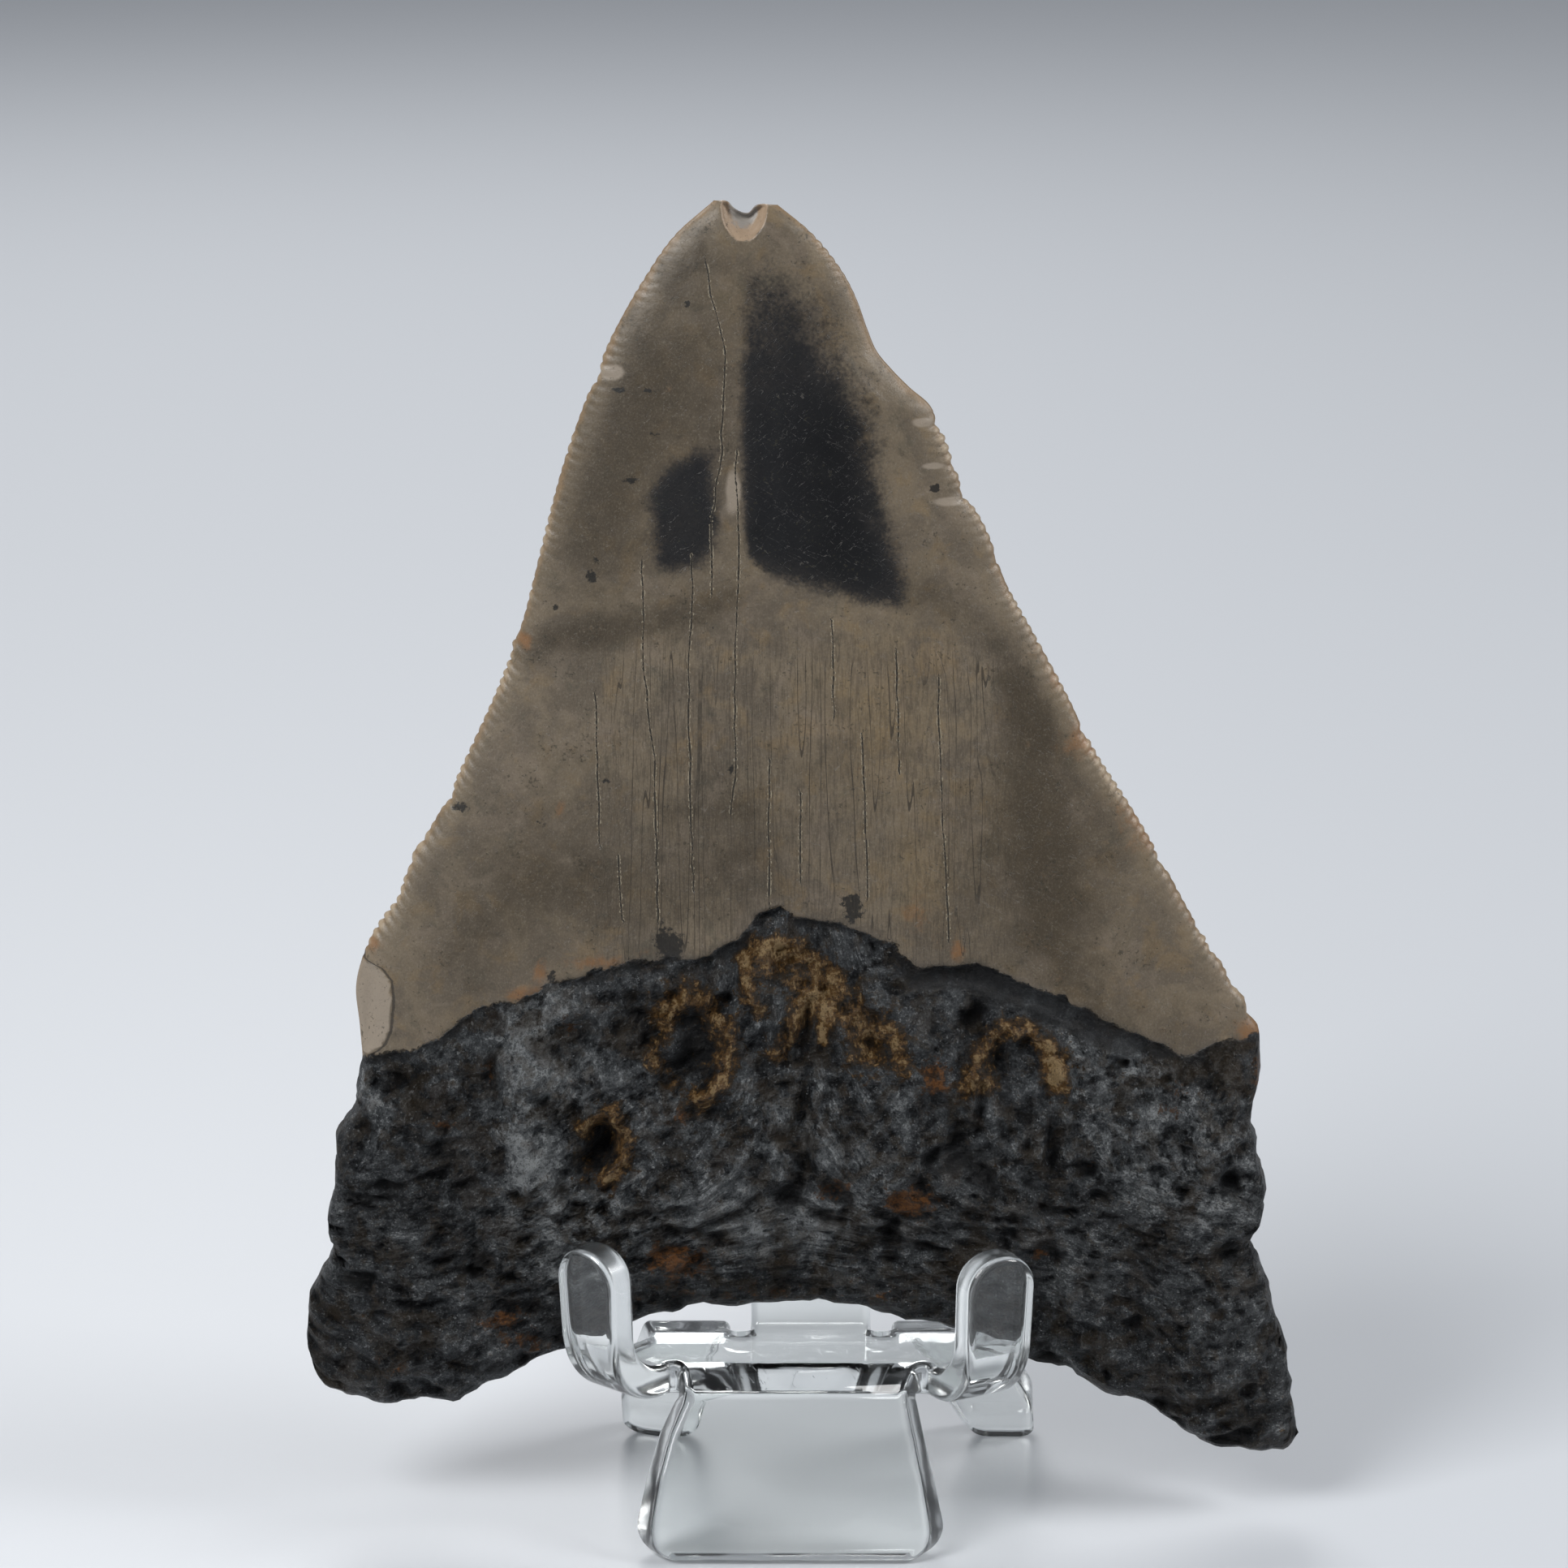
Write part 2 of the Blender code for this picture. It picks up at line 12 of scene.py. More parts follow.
import bmesh
import bpy
import numpy as np
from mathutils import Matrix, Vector


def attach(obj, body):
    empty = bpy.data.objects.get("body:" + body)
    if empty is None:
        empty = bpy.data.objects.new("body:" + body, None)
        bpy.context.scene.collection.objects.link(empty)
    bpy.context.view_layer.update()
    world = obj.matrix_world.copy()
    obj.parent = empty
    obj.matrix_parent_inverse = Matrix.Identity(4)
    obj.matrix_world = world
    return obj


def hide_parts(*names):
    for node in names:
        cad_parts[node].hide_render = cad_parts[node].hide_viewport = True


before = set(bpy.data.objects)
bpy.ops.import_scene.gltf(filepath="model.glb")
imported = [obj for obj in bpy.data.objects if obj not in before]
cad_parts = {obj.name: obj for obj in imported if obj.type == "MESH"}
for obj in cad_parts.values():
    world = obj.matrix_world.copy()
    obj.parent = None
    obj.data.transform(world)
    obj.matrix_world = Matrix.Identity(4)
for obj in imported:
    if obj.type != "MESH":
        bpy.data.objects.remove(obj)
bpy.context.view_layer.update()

MM = 0.001

# %% [markdown]
# ## Colours and nodes
#
# A colour picked from a screen is an sRGB hex value, but shaders count light in linear values. One
# function turns the first into the second. Another adds a shader node together with its settings and
# its links, so that each line of a material reads as one step.

# %% Colour and node helpers
def colour(hex_code):
    """sRGB to linear: each channel c becomes ((c + 0.055) / 1.055) to the power 2.4, or c / 12.92
    where it is very dark."""
    channels = np.array([int(hex_code[k:k + 2], 16) for k in (1, 3, 5)]) / 255
    linear = np.where(channels > 0.04045, ((channels + 0.055) / 1.055) ** 2.4, channels / 12.92)
    return (*linear.tolist(), 1.0)


def add_node(tree, kind, settings, links=None):
    """Adds a node. A setting whose key is a number or an input's name is that input's value, any other
    is a property of the node. Links name what feeds its inputs: a socket, or a node, whose first output
    is meant."""
    node = tree.nodes.new(kind)
    for key, value in settings.items():
        if isinstance(key, str) and hasattr(node, key):
            setattr(node, key, value)
        else:
            node.inputs[key].default_value = value
    for key, source in (links or {}).items():
        socket = source if isinstance(source, bpy.types.NodeSocket) else source.outputs[0]
        tree.links.new(socket, node.inputs[key])
    return node


def new_material(name):
    """An empty principled material: its tree, its shader and the material itself."""
    made = bpy.data.materials.new(name)
    made.use_nodes = True
    return made.node_tree, made.node_tree.nodes["Principled BSDF"], made


print("taupe in linear light:", np.round(colour("#6f6558"), 3))

# %% [markdown]
# ## Camera, light and floor
#
# The camera stands half a metre away, looks 16 degrees down and has a long lens, so that the tooth's
# outline is hardly distorted. A big soft lamp on the upper left is the main light, as a studio softbox
# would be. Two weaker ones lift the right side and draw bright lines along the acrylic's edges.

# %% Camera
CAMERA_TARGET = np.array([-1.6, 6.27, 68.4])
CAMERA_DISTANCE = 500.0
CAMERA_DOWN = np.radians(16.0)
LENS = 121.1
SENSOR_WIDTH = 36.0
looking = np.array([0.0, np.cos(CAMERA_DOWN), -np.sin(CAMERA_DOWN)])
camera = bpy.data.objects.new("camera", bpy.data.cameras.new("camera"))
bpy.context.collection.objects.link(camera)
camera.data.lens = LENS
camera.data.sensor_width = SENSOR_WIDTH
camera.data.clip_start = 10 * MM
camera.location = (CAMERA_TARGET - CAMERA_DISTANCE * looking) * MM
camera.rotation_euler = (np.pi / 2 - CAMERA_DOWN, 0.0, 0.0)
bpy.context.scene.camera = camera
bpy.context.scene.view_settings.view_transform = "Standard"
print("camera at", np.round(np.array(camera.location) / MM), "mm")

# %% Softboxes
LAMP_AIM = Vector((0.0, 0.0, 0.06))
SOFTBOXES = [   # name, place and width in metres, watts
    ("key_softbox", (-0.55, -0.45, 0.75), 0.45, 7.6),
    ("right_strip", (0.60, -0.05, 0.45), 0.25, 2.6),
    ("back_strip", (-0.15, 0.75, 0.60), 0.40, 3.0),
]
for lamp_name, lamp_place, lamp_width, watts in SOFTBOXES:
    lamp = bpy.data.objects.new(lamp_name, bpy.data.lights.new(lamp_name, "AREA"))
    bpy.context.collection.objects.link(lamp)
    lamp.data.size = lamp_width
    lamp.data.energy = watts
    lamp.location = lamp_place
    lamp.rotation_euler = (LAMP_AIM - lamp.location).to_track_quat("-Z", "Y").to_euler()
print(len(SOFTBOXES), "softboxes that face the middle of the tooth")

# %% Studio air and floor
AIR_STRENGTH = 0.60
FLOOR_HALF = 6.0
air = bpy.data.worlds.new("studio_air")
air.use_nodes = True
air.node_tree.nodes["Background"].inputs["Color"].default_value = colour("#b9bdc4")
air.node_tree.nodes["Background"].inputs["Strength"].default_value = AIR_STRENGTH
bpy.context.scene.world = air
floor_corners = [(FLOOR_HALF * x, FLOOR_HALF * y, 0) for x, y in ((-1, -1), (1, -1), (1, 1), (-1, 1))]
floor_mesh = bpy.data.meshes.new("floor")
floor_mesh.from_pydata(floor_corners, [], [(0, 1, 2, 3)])
floor = bpy.data.objects.new("floor", floor_mesh)
bpy.context.collection.objects.link(floor)
_, floor_shader, floor_paint = new_material("pale_satin_board")
floor_shader.inputs["Base Color"].default_value = colour("#c4c7cb")
floor_shader.inputs["Roughness"].default_value = 0.42
floor_mesh.materials.append(floor_paint)
print("a floor", 2 * FLOOR_HALF, "m wide")

# %% [markdown]
# ## Curves through points
#
# The tooth is drawn in its own plane: x runs to the right and t runs up along it, both in millimetres.
# Its outline is four curves, each through a few points: the two sides, the arched base of the root and
# the chipped tip. A cubic between each two points makes them smooth, and even spacing makes a share of
# the curve a share of its length.

# %% Curve helpers
FINE_STEPS = 40       # points worked out on each cubic before they are spaced evenly


def ease(value):
    """A smooth step: 0 below 0, 1 above 1, and 3 s squared less 2 s cubed between."""
    value = np.clip(value, 0.0, 1.0)
    return value * value * (3.0 - 2.0 * value)


def smooth_curve(points, count=1500):
    """Evenly spaced points on a chain of cubics, whose slope at each point comes from its neighbours."""
    knots = np.array(points, float)
    reach = np.concatenate([[0.0], np.cumsum(np.linalg.norm(np.diff(knots, axis=0), axis=1))])
    slope = np.gradient(knots, reach, axis=0)
    place = np.linspace(0.0, reach[-1], FINE_STEPS * len(knots))
    span = np.clip(np.searchsorted(reach, place, side="right") - 1, 0, len(knots) - 2)
    width = (reach[span + 1] - reach[span])[:, None]
    s = (place - reach[span])[:, None] / width
    fine = (
        (2 * s**3 - 3 * s**2 + 1) * knots[span]
        + (s**3 - 2 * s**2 + s) * width * slope[span]
        + (3 * s**2 - 2 * s**3) * knots[span + 1]
        + (s**3 - s**2) * width * slope[span + 1]
    )
    run = np.concatenate([[0.0], np.cumsum(np.linalg.norm(np.diff(fine, axis=0), axis=1))])
    even = np.linspace(0.0, run[-1], count)
    return np.column_stack([np.interp(even, run, fine[:, 0]), np.interp(even, run, fine[:, 1])])


def along(curve, share):
    """The points at shares 0 to 1 of an evenly sampled curve."""
    steps = np.linspace(0.0, 1.0, len(curve))
    return np.stack([np.interp(share, steps, curve[:, k]) for k in (0, 1)], axis=-1)


def read_smooth(table, place):
    """The height of the smooth curve through a table of (place, height) pairs."""
    curve = smooth_curve(table)
    return np.interp(place, curve[:, 0], curve[:, 1])


print("a quarter of the way, the smooth step stands at", float(ease(0.25)))

# %% Outline of the tooth
LEFT_SIDE = [
    (-45.2, -1.3), (-45.6, 1.3), (-45.5, 3.6), (-44.6, 5.9), (-43.5, 8.2), (-43.0, 10.4), (-43.5, 12.1),
    (-42.9, 15.7), (-42.5, 19.5), (-41.2, 21.8), (-40.1, 24.1), (-39.9, 27.0), (-40.1, 30.2),
    (-40.4, 34.1), (-39.0, 38.5), (-37.1, 41.6), (-34.4, 47.0), (-31.8, 51.6), (-28.9, 57.7),
    (-26.6, 62.7), (-24.4, 68.7), (-22.9, 74.4), (-20.5, 83.4), (-18.1, 90.1), (-15.9, 95.3),
    (-13.0, 100.4), (-10.1, 104.5), (-6.5, 107.7),
]
RIGHT_SIDE = [
    (48.8, -9.4), (48.5, -6.6), (48.3, -3.4), (47.0, 2.6), (45.2, 7.4), (44.5, 9.0), (44.8, 10.8),
    (45.5, 12.7), (45.5, 14.6), (44.9, 19.2), (44.4, 21.3), (44.6, 23.7), (45.0, 25.6), (45.0, 27.9),
    (44.8, 30.1), (44.0, 31.9), (40.8, 36.9), (38.1, 41.2), (35.4, 46.2), (32.7, 50.8), (29.2, 56.2),
    (26.5, 61.6), (23.4, 67.3), (20.7, 72.2), (19.0, 76.8), (16.7, 81.1), (14.4, 86.9), (13.6, 88.7),
    (11.7, 90.4), (10.0, 92.1), (8.6, 93.8), (7.7, 95.9), (6.8, 98.4), (6.0, 100.1), (4.5, 102.4),
    (2.2, 105.0), (-0.6, 107.3),
]
ROOT_BASE = [
    (-45.2, -1.3), (-44.6, -3.6), (-43.1, -4.9), (-40.9, -5.3), (-37.7, -6.4), (-35.5, -6.2),
    (-32.2, -5.8), (-27.1, -4.1), (-21.9, -1.8), (-17.4, 0.1), (-14.1, 1.8), (-9.0, 3.0), (-4.5, 3.4),
    (1.0, 4.0), (5.3, 3.6), (10.8, 2.3), (16.0, 1.0), (19.5, 0.2), (22.6, -1.5), (26.4, -2.8),
    (31.6, -5.4), (35.0, -6.7), (38.9, -9.6), (43.7, -11.0), (46.5, -11.2), (48.2, -10.8), (48.8, -9.4),
]
TIP_EDGE = [(-6.5, 107.7), (-5.2, 107.6), (-4.6, 107.0), (-3.3, 106.6), (-2.7, 107.2), (-0.6, 107.3)]
LEFT_CURVE, RIGHT_CURVE = smooth_curve(LEFT_SIDE), smooth_curve(RIGHT_SIDE)
BASE_CURVE, TIP_CURVE = smooth_curve(ROOT_BASE), smooth_curve(TIP_EDGE)


def outline_patch(u, v):
    """The place in the tooth's plane at share u across and v up. The sides are blended across, the
    ends are blended up, and the blend of the four corners, which both count, is taken off."""
    a, b = u[..., None], v[..., None]
    sides = (1 - a) * along(LEFT_CURVE, v) + a * along(RIGHT_CURVE, v)
    ends = (1 - b) * along(BASE_CURVE, u) + b * along(TIP_CURVE, u)
    corners = (
        (1 - a) * (1 - b) * BASE_CURVE[0] + a * (1 - b) * BASE_CURVE[-1]
        + (1 - a) * b * TIP_CURVE[0] + a * b * TIP_CURVE[-1]
    )
    return sides + ends - corners


print("left side is", round(float(np.linalg.norm(np.diff(LEFT_CURVE, axis=0), axis=1).sum()), 1), "mm")

# %% [markdown]
# ## The net of points
#
# The tooth's front is a net of rows and columns over that outline. Its rows lie closer together on the
# crown, whose serrations are about a millimetre apart and need four points each. The back needs less,
# so it uses every second row and column, and shares the rim with the front.

# %% Rows and columns
COLUMNS = 156
ROWS = 480
ROOT_DENSITY = 0.65
CROWN_STARTS = 0.32       # share up the tooth where the rows begin to lie closer
EDGE_PULL = 0.2


def row_shares(count):
    """Shares up the tooth. Their density rises from the root's to 1 on the crown, and each row stands
    where the added-up density reaches its share of the whole."""
    fine = np.linspace(0, 1, 2001)
    density = ROOT_DENSITY + (1 - ROOT_DENSITY) * ease((fine - CROWN_STARTS) / 0.08)
    total = np.concatenate([[0.0], np.cumsum(0.5 * (density[1:] + density[:-1]))])
    return np.interp(np.linspace(0, 1, count + 1), total / total[-1], fine)


def column_shares(count):
    """Shares across. Taking off a little of a sine draws the columns towards both edges."""
    even = np.linspace(0, 1, count + 1)
    return even - EDGE_PULL * np.sin(2 * np.pi * even) / (2 * np.pi)


share_u, share_v = np.meshgrid(column_shares(COLUMNS), row_shares(ROWS))
side_width = np.linalg.norm(along(RIGHT_CURVE, share_v) - along(LEFT_CURVE, share_v), axis=-1)
print("net of", share_u.size, "points, at most", round(float(side_width.max()), 1), "mm wide")

# %% [markdown]
# ## Noise
#
# Nothing on a fossil repeats, so its lumps, grain and worn edges follow noise. Each corner of an
# endless lattice gets its own number, which depends only on where it is, and places between blend
# their four corners. Adding finer and weaker copies gives the look of broken mineral.

# %% Noise on whole arrays
def lattice(i, j, seed):
    """A number from -1 to 1 for each lattice corner: the far decimals of a sine."""
    wave = np.sin(i * 127.1 + j * 311.7 + seed * 74.7) * 43758.5453
    return 2 * (wave - np.floor(wave)) - 1


def cloud(x, y, size, seed):
    """Smooth noise from -1 to 1 whose blotches are about one size across: the lattice's corners
    blended along x and then along y. Size is one length, or one for x and one for y."""
    size_x, size_y = np.broadcast_to(size, 2)
    gx, gy = x / size_x, y / size_y
    i, j = np.floor(gx), np.floor(gy)
    a, b = ease(gx - i), ease(gy - j)
    low = (1 - a) * lattice(i, j, seed) + a * lattice(i + 1, j, seed)
    high = (1 - a) * lattice(i, j + 1, seed) + a * lattice(i + 1, j + 1, seed)
    return (1 - b) * low + b * high


LAYER_FADE = 0.55


def broken_cloud(x, y, size, seed, layers=4):
    """A sum of clouds, each half the size of the last and weaker by a fixed share."""
    size = np.broadcast_to(size, 2)
    return sum(LAYER_FADE**k * cloud(x, y, size / 2**k, seed + 10 * k) for k in range(layers))


print("noise from", np.round(cloud(share_u * 90, share_v * 110, 3.0, 1).min(), 2), "upwards")

# %% [markdown]
# ## The line where the enamel ends
#
# The enamel's lower edge crosses the tooth in an arch with a peak in its middle. Much of what follows
# depends on the distance to that edge: the step in the surface, the dark neck below it and which
# colours show. So each side gets a list of points on its line, and one function gives the distance.

# %% Enamel line
ENAMEL_LINE = [
    (-46.0, 26.6), (-38.0, 27.5), (-35.5, 28.1), (-33.9, 28.8), (-31.2, 30.7), (-28.4, 32.7),
    (-24.9, 33.2), (-22.3, 34.7), (-18.4, 35.8), (-15.7, 36.8), (-11.2, 37.4), (-7.0, 37.5),
    (-5.6, 38.3), (-4.3, 39.3), (-2.5, 41.5), (-0.5, 42.2), (1.2, 41.3), (4.7, 41.0), (7.3, 39.6),
    (10.2, 38.9), (12.5, 36.8), (17.0, 36.8), (21.6, 35.5), (26.1, 33.7), (29.5, 31.8), (33.9, 29.6),
    (37.8, 27.6), (40.2, 28.8), (42.4, 29.0), (46.0, 29.8),
]
BACK_ENAMEL_LINE = [
    (-46.0, 31.4), (-37.0, 33.4), (-28.0, 36.8), (-19.0, 41.4), (-11.0, 45.8), (-5.0, 48.4),
    (-1.0, 49.6), (2.5, 49.4), (7.0, 47.8), (13.0, 44.6), (21.0, 40.6), (29.0, 37.2), (38.0, 33.8),
    (46.0, 32.0),
]
LINE_ROUGHNESS = 0.34


def above_line(line, x, t, seed):
    """Distance in mm above a line that crosses the tooth: the height over it, shortened by its slope,
    and made ragged by noise."""
    height = np.interp(x, *np.transpose(line))
    slope = np.interp(x + 0.5, *np.transpose(line)) - np.interp(x - 0.5, *np.transpose(line))
    return (t - height) / np.sqrt(1 + slope**2) + LINE_ROUGHNESS * broken_cloud(x, t, 1.8, seed, 4)


print("the enamel's edge peaks at t =", max(height for _, height in ENAMEL_LINE), "mm")

# %% [markdown]
# ## Serrations and chips
#
# Both cutting edges carry small round knobs, about one millimetre apart, which sawed through meat. Some
# are worn down and a few have broken off with a flake of enamel. They are made by moving the edge out
# and in within the tooth's plane. The move fades over the first millimetre inside the edge, so each
# knob runs a little way onto the face. The root's edge gets rough noise in the same way.

# %% Knobs and chips along an edge
SERRATION_PITCH = 0.98
SERRATION = 0.32
KNOB_MIDDLE = 0.6         # above this share of a knob's height the edge stands out, below it goes in
LEFT_CHIPS = [   # height t, half width and depth in mm; a depth below zero stands out
    (91.6, 1.1, 0.35), (66.6, 0.5, -0.25), (52.2, 0.8, 0.35), (46.8, 0.6, -0.3), (42.6, 1.2, 0.3),
]
RIGHT_CHIPS = [
    (31.6, 0.8, 0.45), (34.4, 1.0, 0.40), (37.6, 0.7, 0.30), (87.0, 0.6, 0.30), (83.2, 0.5, 0.25),
    (80.6, 0.9, 0.45), (74.5, 0.5, 0.2), (58.3, 0.6, 0.3), (46.0, 0.8, 0.3), (39.5, 0.6, 0.25),
]
# how strong the knobs are at a height t, from 0 where they are gone to 1
LEFT_WORN = [(-12, 0), (36, 0), (40, 1), (88, 1), (97, 0.7), (103, 0.35), (106, 0)]
RIGHT_WORN = [(-12, 0), (29, 0), (33, 1), (86, 1), (88.5, 0), (98, 0), (100, 0.4), (104, 0.5), (106, 0)]


def edge_move(curve, worn, chips, seed):
    """How far each row of an edge moves outwards, in mm: knobs are the sine of the length along the
    edge, without its sign and to the power 0.6, which leaves sharp valleys between round tops. Their
    strength is read from a table and varies with noise. Chips are bell-shaped notches."""
    edge = along(curve, row_shares(ROWS))
    length = np.linalg.norm(np.diff(curve, axis=0), axis=1).sum()
    reach = row_shares(ROWS) * length
    wander = 0.5 * cloud(reach, 0 * reach, 6.0, seed)
    knob = np.abs(np.sin(np.pi * (reach / SERRATION_PITCH + wander))) ** 0.6
    strength = np.interp(edge[:, 1], *np.transpose(worn))
    uneven = np.clip(0.75 + 0.55 * broken_cloud(reach, 0 * reach, 5.0, seed + 3, 3), 0.1, 1.2)
    move = SERRATION * strength * uneven * (knob - KNOB_MIDDLE)
    for height, half, depth in chips:
        move = move - depth * np.exp(-(((edge[:, 1] - height) / half) ** 2))
    rough = 0.36 * broken_cloud(reach, 0 * reach, 3.4, seed + 5, 4)
    rough = rough + 0.16 * cloud(reach, 0 * reach, 1.3, seed + 6)
    on_root = 1 - ease((edge[:, 1] - 25.0) / 4.0)
    return move + rough * on_root, knob * strength * uneven


left_move, left_knob = edge_move(LEFT_CURVE, LEFT_WORN, LEFT_CHIPS, 11)
right_move, right_knob = edge_move(RIGHT_CURVE, RIGHT_WORN, RIGHT_CHIPS, 12)
print("knobs stand out by up to", round(float(left_move.max()), 2), "mm")

# %% Places in the tooth's plane
def outward(curve, share, turn):
    """Unit vectors at right angles to a curve: its step ahead, turned a quarter to one side."""
    ahead = along(curve, np.clip(share + 0.004, 0, 1)) - along(curve, np.clip(share - 0.004, 0, 1))
    ahead /= np.linalg.norm(ahead, axis=-1)[..., None]
    return turn * np.stack([-ahead[..., 1], ahead[..., 0]], axis=-1)


SIDE_REACH = 0.8          # mm inside the edge where its move has faded to about a third
BASE_REACH = 1.6
BASE_ROUGHNESS = 0.45
along_base = 100 * column_shares(COLUMNS)
base_rough = BASE_ROUGHNESS * broken_cloud(along_base, 0 * along_base, 4.0, 21, 4)
base_fade = ease(share_u / 0.03) * ease((1 - share_u) / 0.03)
place = outline_patch(share_u, share_v)
from_base = np.linalg.norm(place - along(BASE_CURVE, share_u), axis=-1)
from_tip = np.linalg.norm(place - along(TIP_CURVE, share_u), axis=-1)
from_left, from_right = share_u * side_width, (1 - share_u) * side_width
place = (
    place
    + (left_move[:, None] * np.exp(-from_left / SIDE_REACH))[..., None] * outward(LEFT_CURVE, share_v, 1)
    + (right_move[:, None] * np.exp(-from_right / SIDE_REACH))[..., None] * outward(RIGHT_CURVE, share_v, -1)
    + (base_rough * base_fade * np.exp(-from_base / BASE_REACH))[..., None] * outward(BASE_CURVE, share_u, -1)
)
plane_x, plane_t = place[..., 0], place[..., 1]
from_rim = np.minimum(np.minimum(from_left, from_right), np.minimum(from_base, from_tip))
print("the tooth is", np.round(np.ptp(plane_x), 1), "x", np.round(np.ptp(plane_t), 1), "mm in its plane")

# %% [markdown]
# ## Thickness
#
# The displayed side is almost flat and the back is rounded, as on every tooth of this kind. The crown
# thins to a blade at both edges, while the root's edge is a round shoulder. Each side's depth is a
# height from a table times that cross-section, and the table is read along t.

# %% Broad form of both sides
LEAN = np.radians(8.0)
LEDGE_TOP = 17.0
TOOTH_FOOT_Y = 1.9
FRAME_SHIFT = np.array([-1.593, -7.505, 0.0])   # from the drawing's middle to the object's origin
FRONT_DEPTH = [
    (-12, 3.2), (2, 3.4), (9, 4.4), (17, 5.0), (32, 5.0), (44, 4.6), (70, 3.8), (92, 2.6), (108, 1.1),
]
BACK_DEPTH = [
    (-12, 5.5), (4, 6.5), (10, 7.0), (20, 8.5), (32, 10.0), (48, 10.5), (70, 8.4), (92, 5.0), (108, 1.3),
]
BACK_BULGE = [(-12, 0), (8, 0.4), (16, 2.2), (26, 5.0), (33, 5.6), (42, 3.2), (55, 0.6), (70, 0), (108, 0)]


ROOT_SHOULDER = 8.0
BASE_SHOULDER = 9.0
TIP_SHOULDER = 3.0
CHANGE_OVER = 9.0         # mm below the enamel line where the root's cross-section takes over


def roll(distance, radius):
    """A quarter circle: 0 at the edge, 1 from the radius inwards."""
    return np.sqrt(1.0 - (1.0 - np.clip(distance / radius, 0.0, 1.0)) ** 2)


def cross_section(line):
    """From 0 at the rim to 1 inside. The crown's is a flattened parabola of the share across, the
    root's is a quarter circle, and they change over below the enamel line."""
    crown = ease((plane_t - np.interp(plane_x, *np.transpose(line)) + CHANGE_OVER) / CHANGE_OVER)
    blade = (4 * share_u * (1 - share_u)) ** 0.62
    section = crown * blade + (1 - crown) * roll(np.minimum(from_left, from_right), ROOT_SHOULDER)
    return section * roll(from_base, BASE_SHOULDER) * roll(from_tip, TIP_SHOULDER)


section = cross_section(ENAMEL_LINE)
bulge = np.exp(-(((plane_x - 1.0) / 15.0) ** 2))
front_form = section * read_smooth(FRONT_DEPTH, plane_t)
back_form = section * (
    read_smooth(BACK_DEPTH, plane_t) + bulge * np.maximum(read_smooth(BACK_BULGE, plane_t), 0)
)
print("thickest at", round(float((front_form + back_form).max()), 1), "mm")

# %% [markdown]
# ## Relief of the root
#
# A root is spongy bone. This one has knobs and curled ridges just below the enamel, a hole where a
# blood vessel went in, thin shelves along the arch of its base, and a broken, slightly fibrous grain
# all over. Each feature is a formula: a knob or a pit is a bell shape in an ellipse, and a ridge is a
# bell shape of the distance to a path.

# %% Knobs, pits and ridges
def bells(features, x, t):
    """The sum of bell shapes, each exp(-r squared) of the distance in its own ellipse. A feature is
    (x, t, radius x, radius t, height), and one below zero is a hollow."""
    total = np.zeros_like(x)
    for bell_x, bell_t, radius_x, radius_t, height in features:
        total += height * np.exp(-(((x - bell_x) / radius_x) ** 2) - ((t - bell_t) / radius_t) ** 2)
    return total


def path_distance(x, t, path):
    """The least distance to any straight piece of a path: each point's foot on the piece is clipped to
    the piece's ends."""
    nearest = np.full(x.shape, 1e9)
    for (ax, at), (bx, bt) in zip(path[:-1], path[1:]):
        run_x, run_t = bx - ax, bt - at
        foot = np.clip(((x - ax) * run_x + (t - at) * run_t) / (run_x**2 + run_t**2), 0, 1)
        nearest = np.minimum(nearest, np.hypot(x - ax - foot * run_x, t - at - foot * run_t))
    return nearest


def ridges(features, x, t):
    """The sum of bell shapes of the distance to each path: (path, half width, height)."""
    total = np.zeros_like(x)
    for path, half, height in features:
        total += height * np.exp(-((path_distance(x, t, path) / half) ** 2))
    return total


BROAD_ROOT = [
    (-32.0, 17.0, 8.0, 8.0, -1.3), (30.0, 15.0, 9.0, 8.0, -1.4), (4.0, 8.5, 11.0, 3.0, -1.0),
    (-36.0, 2.0, 6.0, 5.0, 1.2), (39.0, -1.0, 6.0, 6.0, 1.2), (12.0, 15.0, 6.0, 4.0, 0.9),
    (-8.0, 14.0, 6.0, 5.0, 0.8), (24.8, 2.4, 2.0, 4.6, -2.0), (-23.3, 22.5, 3.0, 8.0, 0.9),
]
ROOT_KNOBS = [
    (-0.9, 36.4, 3.0, 3.4, 1.6), (0.3, 35.4, 1.1, 2.0, -0.9), (6.8, 31.5, 3.6, 3.6, 1.0),
    (8.6, 29.4, 1.2, 1.4, -0.9), (5.2, 33.4, 1.0, 1.6, -0.6), (-8.0, 29.0, 2.0, 3.0, -1.8),
    (20.6, 27.6, 2.4, 2.4, -1.3), (14.2, 25.4, 2.2, 3.0, 0.9), (25.4, 26.4, 1.6, 2.4, 0.8),
    (-16.8, 20.0, 1.15, 1.6, -3.0), (-18.2, 18.2, 0.7, 0.9, -1.2), (11.8, 14.0, 3.2, 2.0, -0.8),
    (4.8, 15.0, 2.2, 1.6, -0.5), (-10.5, 7.8, 3.8, 2.0, -0.5), (25.2, 19.5, 0.8, 4.0, -0.9),
    (-14.0, 32.4, 1.6, 2.2, -1.0), (-19.5, 30.6, 1.3, 1.6, -0.7), (31.0, 24.0, 2.2, 2.6, -0.6),
    (40.8, 24.0, 1.6, 2.0, -0.8), (-0.2, 28.6, 0.8, 2.2, -0.9), (-27.0, 24.5, 1.0, 2.4, -0.6),
]
